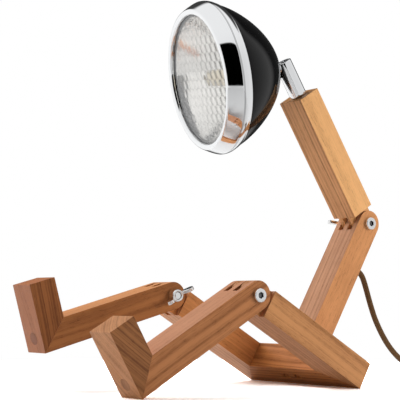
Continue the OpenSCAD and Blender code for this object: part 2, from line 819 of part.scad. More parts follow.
module switch_cover() {
    color("saddlebrown") on_table() translate([0, switch_y, 0]) difference() {
        switch_shape(switch_h / 2, switch_h);
        switch_room(0, switch_h + overcut);
    }
}
module switch_rocker() {
    color("tan") on_table() translate([0, switch_y + switch_len / 2, rocker_pivot_z]) rotate([rocker_tilt, 0, 0])
        translate([-rocker_w / 2, -rocker_len / 2, -rocker_h / 2]) cube([rocker_w, rocker_len, rocker_h]);
}
module plug_frame() {
    last = tail_route[len(tail_route) - 1];
    on_table() translate([last[0], last[1], last[2]]) rotate([90, 0, 0]) children();
}
module plug_body() {
    plug_neck_w = 14;
    shoulder_len = 12;
    corner = 4;
    half_w = mains_plug_w / 2;
    color("saddlebrown") plug_frame() rotate([90, 0, 0]) linear_extrude(mains_plug_t, center = true) polygon([
        [-plug_neck_w / 2, 0],
        [plug_neck_w / 2, 0],
        [half_w, shoulder_len],
        [half_w, mains_plug_len - corner],
        [half_w - corner, mains_plug_len],
        [-half_w + corner, mains_plug_len],
        [-half_w, mains_plug_len - corner],
        [-half_w, shoulder_len],
    ]);
}
module plug_pins() {
    color("silver") plug_frame() for (side = [-1, 1])
        translate([side * pin_spacing / 2, 0, mains_plug_len]) cylinder(d = pin_d, h = pin_len);
}

hip_beam();
left_thigh();
right_thigh();
mitre_dowels();
lower_torso();
torso_screws();
waist_bolt();
waist_wing_nut();
cord_gland();
lower_lead();
left_shin();
left_foot();
left_foot_screw();
left_foot_plug();
left_knee_bolt();
left_knee_wing_nut();
right_shin();
right_foot();
right_foot_screw();
right_foot_plug();
right_knee_bolt();
right_knee_wing_nut();
upper_torso();
upper_lead();
neck_nipple();
neck_locknut();
neck_tube();
neck_bush();
neck_cap();
tilt_pin();
swivel_eye();
head_washer();
head_nut();
head_lead();
head_shell();
rim();
lens();
lens_gasket();
reflector();
reflector_clips();
lampholder();
bulb_base();
bulb();
cord_lead();
cord_middle();
cord_coil();
cord_tail();
cord_tie();
switch_base();
switch_cover();
switch_rocker();
plug_body();
plug_pins();
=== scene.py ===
import json
import math

import bmesh
import bpy
import numpy as np
from mathutils import Matrix, Vector

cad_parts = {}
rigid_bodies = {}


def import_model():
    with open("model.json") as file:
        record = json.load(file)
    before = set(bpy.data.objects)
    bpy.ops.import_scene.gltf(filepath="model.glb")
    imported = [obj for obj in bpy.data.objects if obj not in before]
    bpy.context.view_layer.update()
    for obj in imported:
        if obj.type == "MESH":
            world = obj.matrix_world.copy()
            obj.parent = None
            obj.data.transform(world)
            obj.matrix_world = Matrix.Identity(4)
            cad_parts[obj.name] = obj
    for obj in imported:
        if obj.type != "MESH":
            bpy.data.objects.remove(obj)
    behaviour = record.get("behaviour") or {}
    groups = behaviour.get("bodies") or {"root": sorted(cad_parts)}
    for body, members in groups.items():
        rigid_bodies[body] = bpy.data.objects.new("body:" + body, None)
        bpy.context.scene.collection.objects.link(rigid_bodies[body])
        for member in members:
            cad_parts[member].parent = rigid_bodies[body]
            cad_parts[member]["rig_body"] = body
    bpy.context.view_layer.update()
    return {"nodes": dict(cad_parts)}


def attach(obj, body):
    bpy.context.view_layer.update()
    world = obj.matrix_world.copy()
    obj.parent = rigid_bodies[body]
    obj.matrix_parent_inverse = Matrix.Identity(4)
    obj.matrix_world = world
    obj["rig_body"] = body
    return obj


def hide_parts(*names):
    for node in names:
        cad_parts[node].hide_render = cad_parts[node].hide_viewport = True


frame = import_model()
nodes = frame["nodes"]
scene = bpy.context.scene

# Lengths in these dictionaries are millimetres, angles are degrees
mm = 0.001
pose = {
    "origin": (-2.4343, -97.6327),
    "seatTilt": 30.5,
    "shinSlopes": {1: 30.1622, -1: 15.5},
    "torsoLean": 32.5,
    "neckTurn": 14,
    "headTilt": 20,
    "kneePivot": (69.5, -126.878, 90.985),
    "waistPivot": (0, 79.754, 168.891),
    "upperTorso": 157,
    "tiltHeight": 33.7,
}


def moved(x, y, z):
    return Matrix.Translation((x * mm, y * mm, z * mm))


def turned(angle, axis):
    return Matrix.Rotation(math.radians(angle), 4, axis)


def facing(azimuth, elevation):
    # A direction, with azimuth from -Y towards +X
    a, e = math.radians(azimuth), math.radians(elevation)
    return Vector((math.sin(a) * math.cos(e), -math.cos(a) * math.cos(e), math.sin(e)))


# The same frames as in the solid model
onTable = moved(-pose["origin"][0], -pose["origin"][1], 0)
seatFrame = onTable @ turned(-pose["seatTilt"], "X")
waistFrame = onTable @ moved(*pose["waistPivot"]) @ turned(-pose["seatTilt"], "X")
upperFrame = onTable @ moved(*pose["waistPivot"]) @ turned(pose["torsoLean"], "X")
neckFrame = upperFrame @ moved(0, 0, pose["upperTorso"]) @ turned(-pose["neckTurn"], "Z")
headFrame = neckFrame @ moved(0, 0, pose["tiltHeight"]) @ turned(-pose["headTilt"], "X") @ turned(90, "X")


def shinFrame(side):
    x, y, z = pose["kneePivot"]
    return onTable @ moved(side * x, y, z) @ turned(pose["shinSlopes"][side], "X")


# Camera
view = {
    "place": (1035.024, -781.017, 85.4),
    "azimuth": 54.1361,
    "elevation": -4.4777,
    "roll": 0.1477,
    "lens": 116.3517,
}


def makeCamera():
    back, roll = facing(view["azimuth"], view["elevation"]), math.radians(view["roll"])
    right = (-back).cross(Vector((0, 0, 1))).normalized()
    up = right.cross(-back)
    across = right * math.cos(roll) + up * math.sin(roll)
    above = up * math.cos(roll) - right * math.sin(roll)
    camera = bpy.data.objects.new("camera", bpy.data.cameras.new("camera"))
    scene.collection.objects.link(camera)
    camera.data.sensor_width = 36
    camera.data.lens = view["lens"]
    camera.data.clip_start = 0.05
    camera.data.clip_end = 50
    turn = Matrix((across, above, back)).transposed().to_4x4()
    camera.matrix_world = Matrix.Translation(Vector(view["place"]) * mm) @ turn
    scene.camera = camera


makeCamera()
print("camera placed")


# Node helpers for the finishes
def setInput(tree, socket, value):
    if isinstance(value, bpy.types.NodeSocket):
        tree.links.new(value, socket)
    else:
        socket.default_value = value


def feed(tree, node, **inputs):
    for key, value in inputs.items():
        setInput(tree, node.inputs[key.replace("_", " ")], value)


def addNode(tree, kind, settings=None, **inputs):
    node = tree.nodes.new(kind)
    for key, value in (settings or {}).items():
        setattr(node, key, value)
    feed(tree, node, **inputs)
    return node


def calc(tree, operation, first, second=None, *others):
    # Further values are folded in from the left
    node = addNode(tree, "ShaderNodeMath", {"operation": operation})
    setInput(tree, node.inputs[0], first)
    if second is not None:
        setInput(tree, node.inputs[1], second)
    result = node.outputs[0]
    return calc(tree, operation, result, *others) if others else result


def times(tree, *values):
    return calc(tree, "MULTIPLY", *values)


def plus(tree, *values):
    return calc(tree, "ADD", *values)


def minus(tree, *values):
    return calc(tree, "SUBTRACT", *values)


def vectorCalc(tree, operation, *values):
    node = addNode(tree, "ShaderNodeVectorMath", {"operation": operation})
    for socket, value in zip(node.inputs, values):
        setInput(tree, socket, value)
    return node.outputs["Value" if operation in ("DOT_PRODUCT", "LENGTH") else "Vector"]


def dot(tree, first, second):
    return vectorCalc(tree, "DOT_PRODUCT", first, second)


def markOf(tree, name):
    return addNode(tree, "ShaderNodeAttribute", {"attribute_name": name}).outputs["Fac"]


def noiseOf(tree, where, scale, detail=2.0, roughness=0.5):
    node = addNode(tree, "ShaderNodeTexNoise", Vector=where, Scale=scale, Detail=detail, Roughness=roughness)
    return node.outputs["Fac"]


def stretched(tree, where, x, y, z):
    return addNode(tree, "ShaderNodeMapping", Vector=where, Scale=(x, y, z)).outputs[0]


def spread(tree, value, low, high, outLow=0.0, outHigh=1.0):
    node = addNode(tree, "ShaderNodeMapRange")
    for socket, number in zip(node.inputs, (value, low, high, outLow, outHigh)):
        setInput(tree, socket, number)
    return node.outputs[0]


def blendColor(tree, share, first, second, mode="MIX"):
    node = addNode(tree, "ShaderNodeMix", {"data_type": "RGBA", "blend_type": mode})
    for index, value in ((0, share), (6, first), (7, second)):
        if isinstance(value, tuple) and len(value) == 3:
            value = (*value, 1)
        setInput(tree, node.inputs[index], value)
    return node.outputs[2]


def bumpOf(tree, height, distance, strength=1.0):
    # Distance in millimetres
    return addNode(tree, "ShaderNodeBump", Height=height, Distance=distance * mm, Strength=strength).outputs[0]


def newFinish(name, **sockets):
    material = bpy.data.materials.new(name)
    material.use_nodes = True
    tree = material.node_tree
    shader = tree.nodes["Principled BSDF"]
    for key, value in sockets.items():
        socket = shader.inputs[key.replace("_", " ")]
        if isinstance(value, tuple) and len(value) == 3 and socket.type == "RGBA":
            value = (*value, 1)
        socket.default_value = value
    return material, tree, shader


def placeOf(tree, matrix=None):
    # Object coordinates in millimetres, turned into the piece's own frame
    coords = addNode(tree, "ShaderNodeTexCoord").outputs["Object"]
    inverse = (matrix or Matrix.Identity(4)).inverted()
    node = addNode(tree, "ShaderNodeMapping", Vector=coords, Scale=(1 / mm,) * 3)
    node.inputs["Rotation"].default_value = inverse.to_euler()
    node.inputs["Location"].default_value = inverse.translation / mm
    return node.outputs[0]


# Oiled wood with the grain along Z of the beam's own frame. A noise is stretched by the scale of its layer,
# and the faces that look sideways have a tone of their own: painted light and shade, as the light falls on them.
woodGrain = {
    "seedStep": (37.0, 11.0, 131.0),
    "stripeStep": 3.4,
    "stripes": (0.36, 0.66),
    "sway": 5.0,
    "swayScale": (0.02, 0.02, 0.0045),
    "lineDepth": 0.62,
    "fibre": {"scale": (1.6, 1.6, 0.03), "detail": 3.0, "roughness": 0.65, "amount": 0.75},
    "patches": {"scale": (0.05, 0.05, 0.014), "detail": 3.0, "roughness": 0.5, "amount": 0.55},
    "ribbon": {"scale": (0.05, 0.05, 0.11), "detail": 2.0, "roughness": 0.5, "amount": 0.16},
    "pores": {"scale": (1.7, 1.7, 1 / 7), "detail": 2.0, "roughness": 0.6, "amount": 0.5},
    "poreDepth": 0.06,
    "light": (1.22, 1.24, 1.28),
    "dark": (0.42, 0.33, 0.26),
    "edgeWearAndHighlightWidth": 1.1,
    "roughness": (0.4, 0.62),
}


def tinted(color, factor):
    return tuple(c * f for c, f in zip(color, factor))


def edgeWearAndHighlight(tree, width):
    # 0 on flats, rising to 1 where the surface turns a corner
    around = addNode(tree, "ShaderNodeBevel", {"samples": 4}, Radius=width * mm).outputs[0]
    flat = addNode(tree, "ShaderNodeNewGeometry").outputs["Normal"]
    return spread(tree, dot(tree, around, flat), 0.995, 0.86)


def growthRings(tree, here, log, heart, seed):
    # Uneven in width, from broad bands down to single dark lines
    bend = woodGrain["sway"] * 2
    slow = stretched(tree, log, *woodGrain["swayScale"])
    sway = addNode(tree, "ShaderNodeTexNoise", Vector=slow, Scale=1.0, Detail=2.0).outputs["Color"]
    lean = vectorCalc(tree, "MULTIPLY_ADD", sway, (bend, bend, 0), here)
    flat = vectorCalc(tree, "MULTIPLY_ADD", lean, (1, 1, 0), (-heart[0], -heart[1], 0))
    reach = vectorCalc(tree, "LENGTH", flat)
    ring = plus(tree, calc(tree, "DIVIDE", reach, woodGrain["stripeStep"]), seed * 17.0)
    rings = addNode(
        tree, "ShaderNodeTexNoise", {"noise_dimensions": "1D"}, W=ring, Scale=1.0, Detail=2.5, Roughness=0.6
    )
    return spread(tree, rings.outputs["Fac"], *woodGrain["stripes"])


def woodFinish(name, matrix, side, front, heart, seed, lines=(1, 1), ends=1.0):
    material, tree, shader = newFinish(name, Specular_IOR_Level=0.3)
    here = placeOf(tree, matrix)
    log = vectorCalc(tree, "ADD", here, tuple(step * seed for step in woodGrain["seedStep"]))
    bands = growthRings(tree, here, log, heart, seed)
    layers = {}
    for layer in ("fibre", "patches", "ribbon", "pores"):
        look = woodGrain[layer]
        layers[layer] = noiseOf(tree, stretched(tree, log, *look["scale"]), 1.0, look["detail"], look["roughness"])
    pores = times(tree, spread(tree, layers["pores"], 0.56, 0.68), spread(tree, bands, 0.15, 0.8, 0.3, 1))
    isSide = markOf(tree, "sideFace")
    strength = spread(tree, isSide, 0, 1, lines[1] * woodGrain["lineDepth"], lines[0] * woodGrain["lineDepth"])
    share = times(tree, calc(tree, "POWER", bands, 1.4), strength)
    for layer in ("fibre", "patches", "ribbon"):
        share = plus(tree, share, times(tree, minus(tree, layers[layer], 0.5), woodGrain[layer]["amount"]))
    share = plus(tree, share, times(tree, pores, woodGrain["pores"]["amount"]))
    share = addNode(tree, "ShaderNodeClamp", Value=share).outputs[0]
    # Painted light and shade: faces that look sideways and the rest get tones of their own
    lightTone, darkTone = (
        blendColor(tree, isSide, tinted(front, woodGrain[tone]), tinted(side, woodGrain[tone]))
        for tone in ("light", "dark")
    )
    color = blendColor(tree, share, lightTone, darkTone)
    color = blendColor(tree, markOf(tree, "endFace"), color, (ends,) * 3, "MULTIPLY")
    # Lighter edges: partly rubbed wear, partly a painted highlight along the corners
    rubbed = spread(tree, layers["fibre"], 0.35, 0.65, 0.15, 0.5)
    wear = times(tree, edgeWearAndHighlight(tree, woodGrain["edgeWearAndHighlightWidth"]), rubbed)
    height = minus(tree, times(tree, layers["fibre"], 0.5), pores)
    feed(
        tree, shader, Base_Color=blendColor(tree, wear, color, lightTone),
        Roughness=spread(tree, share, 0, 1, *woodGrain["roughness"]),
        Normal=bumpOf(tree, height, woodGrain["poreDepth"]),
    )
    return material


# Plated, lacquered and moulded finishes
def metalFinish(name, color, roughness, streak=0.02, wear=0.0):
    material, tree, shader = newFinish(name, Base_Color=color, Metallic=1.0)
    here = placeOf(tree)
    smudge = noiseOf(tree, here, 0.12, 3.0)
    scratch = noiseOf(tree, stretched(tree, here, 0.4, 6.0, 6.0), 1.0, 4.0, 0.7)
    plain = color
    if wear:
        plain = blendColor(tree, spread(tree, smudge, 0.45, 0.75, 0, wear), color, tinted(color, (0.72,) * 3))
    dull = spread(tree, smudge, 0.3, 0.75, roughness, roughness * 1.8)
    # Painted shade: grooves, hex sockets, a crescent at the bowl's edge and its lip carry a face mark that darkens
    # the colour nearly to black
    feed(
        tree, shader, Base_Color=blendColor(tree, markOf(tree, "grime"), plain, (0.03, 0.03, 0.032)),
        Roughness=plus(tree, dull, times(tree, scratch, streak)), Normal=bumpOf(tree, scratch, 0.004, 0.4),
    )
    return material


def plasticFinish(name, color, roughness, grain=0.02, shine=0.5):
    material, tree, shader = newFinish(name, Base_Color=color, Specular_IOR_Level=shine)
    here = placeOf(tree)
    fine, broad = noiseOf(tree, here, 2.6), noiseOf(tree, here, 0.08)
    lighter = tuple(min(1, c * 1.25 + 0.004) for c in color)
    feed(
        tree, shader, Base_Color=blendColor(tree, spread(tree, fine, 0.4, 0.7), color, lighter),
        Roughness=spread(tree, broad, 0.3, 0.7, roughness * 0.85, roughness * 1.25),
        Normal=bumpOf(tree, fine, grain),
    )
    return material


def glassFinish(name, color, roughness, hollowShade=None):
    material, tree, shader = newFinish(name, Base_Color=color, Transmission_Weight=1.0, IOR=1.5, Roughness=roughness)
    here = placeOf(tree)
    smear = noiseOf(tree, here, 0.06, 3.0)
    feed(
        tree, shader, Roughness=spread(tree, smear, 0.4, 0.8, roughness, roughness + 0.02),
        Normal=bumpOf(tree, noiseOf(tree, here, 0.5), 0.01, 0.3),
    )
    # Painted shade: the glass is tinted darker in the pillows' hollows
    if hollowShade:
        feed(tree, shader, Base_Color=blendColor(tree, markOf(tree, "hollow"), color, hollowShade))
    return material


def braidFinish(name, color, strands=12, pitch=0.42):
    # UV runs once round the cord in U, and in millimetres along it in V
    material, tree, shader = newFinish(
        name, Roughness=0.85, Specular_IOR_Level=0.2, Sheen_Weight=0.08, Sheen_Roughness=0.4
    )
    uv = addNode(tree, "ShaderNodeUVMap", {"uv_map": "cordMap"}).outputs[0]
    around, lengthwise, _ = addNode(tree, "ShaderNodeSeparateXYZ", Vector=uv).outputs
    around, lengthwise = times(tree, around, strands), times(tree, lengthwise, pitch)
    right, left = plus(tree, around, lengthwise), minus(tree, around, lengthwise)
    over = [calc(tree, "ABSOLUTE", calc(tree, "SINE", times(tree, s, math.pi))) for s in (right, left)]
    cells = plus(tree, calc(tree, "FLOOR", right), calc(tree, "FLOOR", left))
    height = addNode(tree, "ShaderNodeMix", {"data_type": "FLOAT"})
    for index, value in ((0, calc(tree, "FLOORED_MODULO", cells, 2.0)), (2, over[0]), (3, over[1])):
        setInput(tree, height.inputs[index], value)
    raised = height.outputs[0]
    fuzz = noiseOf(tree, placeOf(tree), 4.0, 3.0)
    # Painted shade: the braid is darker where the strands dip between each other
    shadedWeave = blendColor(tree, spread(tree, raised, 0.1, 0.75), tinted(color, (0.42,) * 3), color)
    faded = blendColor(tree, spread(tree, fuzz, 0.35, 0.7, 0, 0.35), shadedWeave, tinted(color, (0.6,) * 3))
    feed(tree, shader, Base_Color=faded, Normal=bumpOf(tree, raised, 0.25, 0.8))
    return material


# One finish for each material slot that isn't wood
shared = {
    "chrome": metalFinish("brightChrome", (0.86, 0.87, 0.88), 0.035, 0.01),
    "zinc": metalFinish("zincPlate", (0.84, 0.84, 0.84), 0.07, 0.03, 0.3),
    "brass": metalFinish("turnedBrass", (0.78, 0.58, 0.27), 0.2, 0.06, 0.6),
    "spring_steel": metalFinish("springSteel", (0.62, 0.62, 0.63), 0.22, 0.08, 0.4),
    "reflector": metalFinish("spunMirror", (0.9, 0.885, 0.865), 0.1, 0.03),
    "black_lacquer": plasticFinish("blackLacquer", (0.002, 0.002, 0.0022), 0.1, 0.003, 0.13),
    "brown_plastic": plasticFinish("brownMoulding", (0.12, 0.06, 0.03), 0.32),
    "dark_plastic": plasticFinish("blackMoulding", (0.02, 0.02, 0.02), 0.5),
    "ceramic": plasticFinish("glazedCeramic", (0.82, 0.79, 0.72), 0.18),
    "gasket": plasticFinish("softGasket", (0.025, 0.025, 0.025), 0.75, 0.05),
    "lens_glass": glassFinish("clearLensGlass", (0.98, 0.98, 0.97), 0.0, (0.66, 0.65, 0.63)),
    "bulb_glass": glassFinish("frostedBulb", (0.97, 0.88, 0.72), 0.3),
    "textile": braidFinish("braidedCord", (0.15, 0.077, 0.03)),
}
print("finishes made")


def finished(name, mesh, matrix=None, sharp=35):
    if matrix is not None:
        mesh.transform(matrix)
    bmesh.ops.recalc_face_normals(mesh, faces=mesh.faces)
    data = bpy.data.meshes.new(name)
    mesh.to_mesh(data)
    mesh.free()
    data.shade_smooth()
    data.set_sharp_from_angle(angle=math.radians(sharp))
    piece = bpy.data.objects.new(name, data)
    scene.collection.objects.link(piece)
    return piece


def settled(piece):
    # Modifiers become the piece's plain mesh
    bpy.context.view_layer.update()
    result = bpy.data.meshes.new_from_object(piece.evaluated_get(bpy.context.evaluated_depsgraph_get()))
    piece.modifiers.clear()
    piece.data = result
    return piece


def takeOver(piece, node, slot, *others, finish=None):
    piece.data.materials.clear()
    piece.data.materials.append(finish or shared[slot])
    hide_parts(node, *others)
    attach(piece, nodes[node]["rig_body"])
    return piece


def softened(piece, edge, segments=3, sharp=35):
    bevel = piece.modifiers.new("softEdges", "BEVEL")
    bevel.width = edge * mm
    bevel.segments = segments
    bevel.limit_method = "ANGLE"
    bevel.angle_limit = math.radians(sharp)
    bevel.harden_normals = True
    return settled(piece)


def camel(node):
    first, *rest = node.split("_")
    return first + "".join(word.capitalize() for word in rest)


def copyOf(node, edge=0.0, segments=3, sharp=35):
    mesh = bmesh.new()
    mesh.from_mesh(nodes[node].data)
    bmesh.ops.remove_doubles(mesh, verts=mesh.verts, dist=0.003 * mm)
    flat = math.radians(0.4)
    bmesh.ops.dissolve_limit(mesh, angle_limit=flat, verts=mesh.verts, edges=mesh.edges)
    piece = finished(camel(node), mesh, sharp=sharp)
    return softened(piece, edge, segments, sharp) if edge else piece


def cut(piece, tool):
    hole = piece.modifiers.new("hole", "BOOLEAN")
    hole.operation, hole.solver, hole.object = "DIFFERENCE", "EXACT", tool
    settled(piece)
    piece.data.set_sharp_from_angle(angle=math.radians(35))
    bpy.data.objects.remove(tool)
    return piece


def joined(first, second):
    mesh = bmesh.new()
    for piece in (first, second):
        mesh.from_mesh(piece.data)
    mesh.to_mesh(first.data)
    mesh.free()
    bpy.data.objects.remove(second)
    return first


def coat(node, material):
    data = nodes[node].data
    data.materials.clear()
    data.materials.append(material)


def arc(x, y, radius, start, end, count):
    return [
        (x + radius * math.cos(math.radians(a)), y + radius * math.sin(math.radians(a)))
        for a in (start + (end - start) * i / count for i in range(count + 1))
    ]


def between(first, last, count):
    # Points spaced evenly from the first to the last
    return [tuple(a + (b - a) * i / count for a, b in zip(first, last)) for i in range(count + 1)]


def run(radius, low, high, step):
    # Rings of one radius, about a step apart
    return between((radius, low), (radius, high), max(1, round(abs(high - low) / step)))


def formed(radius, form, angle):
    # 6 makes a hexagon from half its width across flats, "cross" a screwdriver's recess
    if form == "cross":
        return radius * (0.34 + 0.66 * abs(math.cos(2 * angle)) ** 3)
    if form:
        part = 2 * math.pi / form
        return radius / math.cos(angle % part - part / 2)
    return radius


def lathe(name, outline, steps, matrix=None, closed=True):
    # Turns an outline of (radius, height) about Z; points on the axis are shared
    mesh = bmesh.new()
    rings = []
    for radius, height, *form in outline:
        if radius < 1e-6:
            rings.append([mesh.verts.new((0, 0, height * mm))] * steps)
            continue
        ring = []
        for angle in (2 * math.pi * k / steps for k in range(steps)):
            reach = formed(radius, form[0] if form else 0, angle) * mm
            ring.append(mesh.verts.new((reach * math.cos(angle), reach * math.sin(angle), height * mm)))
        rings.append(ring)
    pairs = list(zip(rings, rings[1:])) + ([(rings[-1], rings[0])] if closed else [])
    for low, high in pairs:
        for k in range(steps):
            n = (k + 1) % steps
            corners = list(dict.fromkeys((low[k], low[n], high[n], high[k])))
            if len(corners) > 2:
                mesh.faces.new(corners)
    return finished(name, mesh, matrix)


def roundedRing(halfWidth, halfLength, corner, height, count=6):
    ring = []
    for x, y, start in ((1, 1, 0), (-1, 1, 90), (-1, -1, 180), (1, -1, 270)):
        middle = (x * (halfWidth - corner), y * (halfLength - corner))
        ring += [(*point, height) for point in arc(*middle, corner, start, start + 90, count)]
    return ring


def loft(name, levels):
    mesh = bmesh.new()
    rings = [[mesh.verts.new(Vector(point) * mm) for point in level] for level in levels]
    for low, high in zip(rings, rings[1:]):
        for k in range(len(low)):
            n = (k + 1) % len(low)
            mesh.faces.new((low[k], low[n], high[n], high[k]))
    mesh.faces.new(rings[0][::-1])
    mesh.faces.new(rings[-1])
    return finished(name, mesh)


def newTree(name, numbers, others=()):
    tree = bpy.data.node_groups.new(name, "GeometryNodeTree")
    sockets = [("Geometry", "Geometry")] + [(label, "Float") for label in numbers] + list(others)
    for label, kind in sockets + [("Finish", "Material")]:
        tree.interface.new_socket(label, in_out="INPUT", socket_type="NodeSocket" + kind)
    tree.interface.new_socket("Geometry", in_out="OUTPUT", socket_type="NodeSocketGeometry")
    return tree, tree.nodes.new("NodeGroupInput").outputs


def endTree(tree, geometry, finish):
    real = addNode(tree, "GeometryNodeRealizeInstances", Geometry=geometry)
    dressed = addNode(tree, "GeometryNodeSetMaterial", Geometry=real.outputs[0], Material=finish)
    setInput(tree, tree.nodes.new("NodeGroupOutput").inputs[0], dressed.outputs[0])
    return tree


def useTree(piece, tree, values):
    # Sets each named input by its socket's identifier, then makes the result plain
    modifier = piece.modifiers.new(tree.name, "NODES")
    modifier.node_group = tree
    for item in tree.interface.items_tree:
        if item.in_out == "INPUT" and item.name in values:
            modifier[item.identifier] = values[item.name]
    return settled(piece)


def grooveTree():
    # Cuts a thread, or rings where Helix is 0, into whatever stands further than Clear from the Z axis
    tree, given = newTree("cutGrooves", ("Pitch", "Depth", "Helix", "Start", "End", "Clear"))
    here = addNode(tree, "GeometryNodeInputPosition").outputs[0]
    x, y, z = addNode(tree, "ShaderNodeSeparateXYZ", Vector=here).outputs
    turn = times(tree, calc(tree, "DIVIDE", calc(tree, "ARCTAN2", y, x), 2 * math.pi), given["Helix"])
    phase = minus(tree, calc(tree, "DIVIDE", z, given["Pitch"]), turn)
    valley = times(tree, calc(tree, "PINGPONG", phase, 0.5), 2.0)
    begin = spread(tree, z, given["Start"], plus(tree, given["Start"], given["Pitch"]))
    end = spread(tree, z, given["End"], minus(tree, given["End"], given["Pitch"]))
    depth = times(tree, times(tree, valley, given["Depth"]), times(tree, begin, end))
    flat = addNode(tree, "ShaderNodeCombineXYZ", X=x, Y=y).outputs[0]
    reach = vectorCalc(tree, "LENGTH", flat)
    share = calc(tree, "DIVIDE", depth, calc(tree, "MAXIMUM", reach, 1e-5))
    shifted = addNode(
        tree, "GeometryNodeSetPosition", Geometry=given["Geometry"],
        Offset=vectorCalc(tree, "MULTIPLY", flat, times(tree, share, -1.0)),
        Selection=calc(tree, "GREATER_THAN", reach, given["Clear"]),
    )
    return endTree(tree, shifted.outputs[0], given["Finish"])


def repeatTree():
    # Sets copies out along a step
    tree, given = newTree("setOut", (), (("Count", "Int"), ("Step", "Vector")))
    line = addNode(tree, "GeometryNodeMeshLine", {"mode": "OFFSET"}, Count=given["Count"], Offset=given["Step"])
    copies = addNode(tree, "GeometryNodeInstanceOnPoints", Points=line.outputs[0], Instance=given["Geometry"])
    return endTree(tree, copies.outputs[0], given["Finish"])


trees = {"grooves": grooveTree(), "repeat": repeatTree()}


def grooved(piece, slot, pitch, depth, start, end, clear=1.0, helix=1.0):
    return useTree(piece, trees["grooves"], {
        "Pitch": pitch * mm, "Depth": depth * mm, "Helix": helix, "Start": start * mm, "End": end * mm,
        "Clear": clear * mm, "Finish": shared[slot],
    })


def setOut(piece, slot, count, step):
    values = {"Count": count, "Step": Vector(step) * mm, "Finish": shared[slot]}
    return useTree(piece, trees["repeat"], values)


def paintShade(piece, share):
    # Marks each face with painted shade, by a share of its middle's radius, angle and height
    mark = piece.data.attributes.new("grime", "FLOAT", "FACE")
    middles = (face.center / mm for face in piece.data.polygons)
    mark.data.foreach_set("value", [
        float(share(math.hypot(c.x, c.y), math.degrees(math.atan2(c.y, c.x)), c.z)) for c in middles
    ])
    return piece


def placed(piece, matrix):
    piece.data.transform(matrix)
    return piece


# Mains cord: gland, switch, coil and plug on one run, in the solid model's working frame
cordRun = {
    "diameter": 6.0,
    "length": 1.8,
    "drop": [
        (0, 77.85, 118.37), (0, 79.8, 117.1), (0, 83.5, 113.7), (0, 86.5, 108.6), (0, 89.2, 102), (0, 93, 91.5),
        (0, 97.5, 79.5), (0, 102.5, 68), (0, 109, 56.5), (0, 116.5, 45.5), (0, 125, 35.5), (0, 135, 26.5),
        (0, 146.5, 18.5), (0, 158, 12.6), (0, 167, 9.9), (0, 174, 9), (0, 180, 9),
    ],
    "switch": [(0, 200, 9), (0, 222, 9), (0, 242, 9)],
    "middle": [(0, 247, 9), (0, 254, 7.6), (0, 261, 5.2), (0, 268, 3.9)],
    "tail": [(75.0, 264, 20.6), (76.0, 252, 16), (76.9, 240, 10.2), (77, 228, 7.2), (77, 218, 7)],
    "coil": {"centre": (37.2, 274), "outer": 37.2, "pitch": 6.1, "rise": 6.05, "low": 3.8, "turns": 7.5,
             "layers": 4, "climb": 150, "perTurn": 16},
    "step": 2.0,
    "sides": 14,
}


def coilPoints(coil):
    points = []
    perLayer = coil["turns"] / coil["layers"]
    for i in range(int(coil["turns"] * coil["perTurn"]) + 1):
        turn = i / coil["perTurn"]
        phase = (turn / perLayer) % 2
        inward = phase if phase < 1 else 2 - phase
        radius = coil["outer"] - coil["pitch"] * perLayer * inward
        height = 0
        for layer in range(1, coil["layers"]):
            share = (turn - layer * perLayer) * 360 / coil["climb"] + 0.5
            share = min(max(share, 0), 1)
            height += share * share * (3 - 2 * share)
        angle = math.pi - 2 * math.pi * turn
        x, y = coil["centre"]
        points.append((
            x + radius * math.cos(angle), y + radius * math.sin(angle), coil["low"] + coil["rise"] * height
        ))
    return points


def smoothLine(points, step):
    # A natural cubic through the points, sampled evenly
    p = np.array(points, float)
    s = np.concatenate(([0], np.cumsum(np.linalg.norm(np.diff(p, axis=0), axis=1))))
    h = np.diff(s)
    size = len(p)
    left = np.zeros((size, size))
    right = np.zeros((size, 3))
    left[0, 0] = left[-1, -1] = 1
    for i in range(1, size - 1):
        left[i, i - 1 : i + 2] = h[i - 1], 2 * (h[i - 1] + h[i]), h[i]
        right[i] = 6 * ((p[i + 1] - p[i]) / h[i] - (p[i] - p[i - 1]) / h[i - 1])
    m = np.linalg.solve(left, right)
    at = np.linspace(0, s[-1], int(s[-1] / step) + 1)
    k = np.clip(np.searchsorted(s, at, "right") - 1, 0, size - 2)
    a, b, w = (s[k + 1] - at)[:, None], (at - s[k])[:, None], h[k][:, None]
    return (
        m[k] * a**3 / (6 * w) + m[k + 1] * b**3 / (6 * w)
        + (p[k] / w - m[k] * w / 6) * a + (p[k + 1] / w - m[k + 1] * w / 6) * b
    )


def tubeAlong(name, line, radius, sides, uvName):
    # A closed tube with square rings, its first ring's direction carried along
    mesh = bmesh.new()
    layer = mesh.loops.layers.uv.new(uvName)
    ways = np.gradient(line, axis=0)
    ways /= np.linalg.norm(ways, axis=1)[:, None]
    across = np.array((1.0, 0, 0))
    lengths = np.concatenate(([0], np.cumsum(np.linalg.norm(np.diff(line, axis=0), axis=1))))
    rings = []
    for centre, way in zip(line, ways):
        across = across - way * across.dot(way)
        across /= np.linalg.norm(across)
        side = np.cross(way, across)
        rings.append([
            mesh.verts.new(centre + radius * (math.cos(t) * across + math.sin(t) * side))
            for t in (2 * math.pi * k / sides for k in range(sides))
        ])
    for i in range(len(rings) - 1):
        for k in range(sides):
            n = (k + 1) % sides
            face = mesh.faces.new((rings[i][k], rings[i][n], rings[i + 1][n], rings[i + 1][k]))
            for loop, (u, v) in zip(face.loops, ((k, i), (k + 1, i), (k + 1, i + 1), (k, i + 1))):
                loop[layer].uv = (u / sides, lengths[v] / mm)
    mesh.faces.new(rings[0][::-1])
    mesh.faces.new(rings[-1])
    return finished(name, mesh, sharp=60)


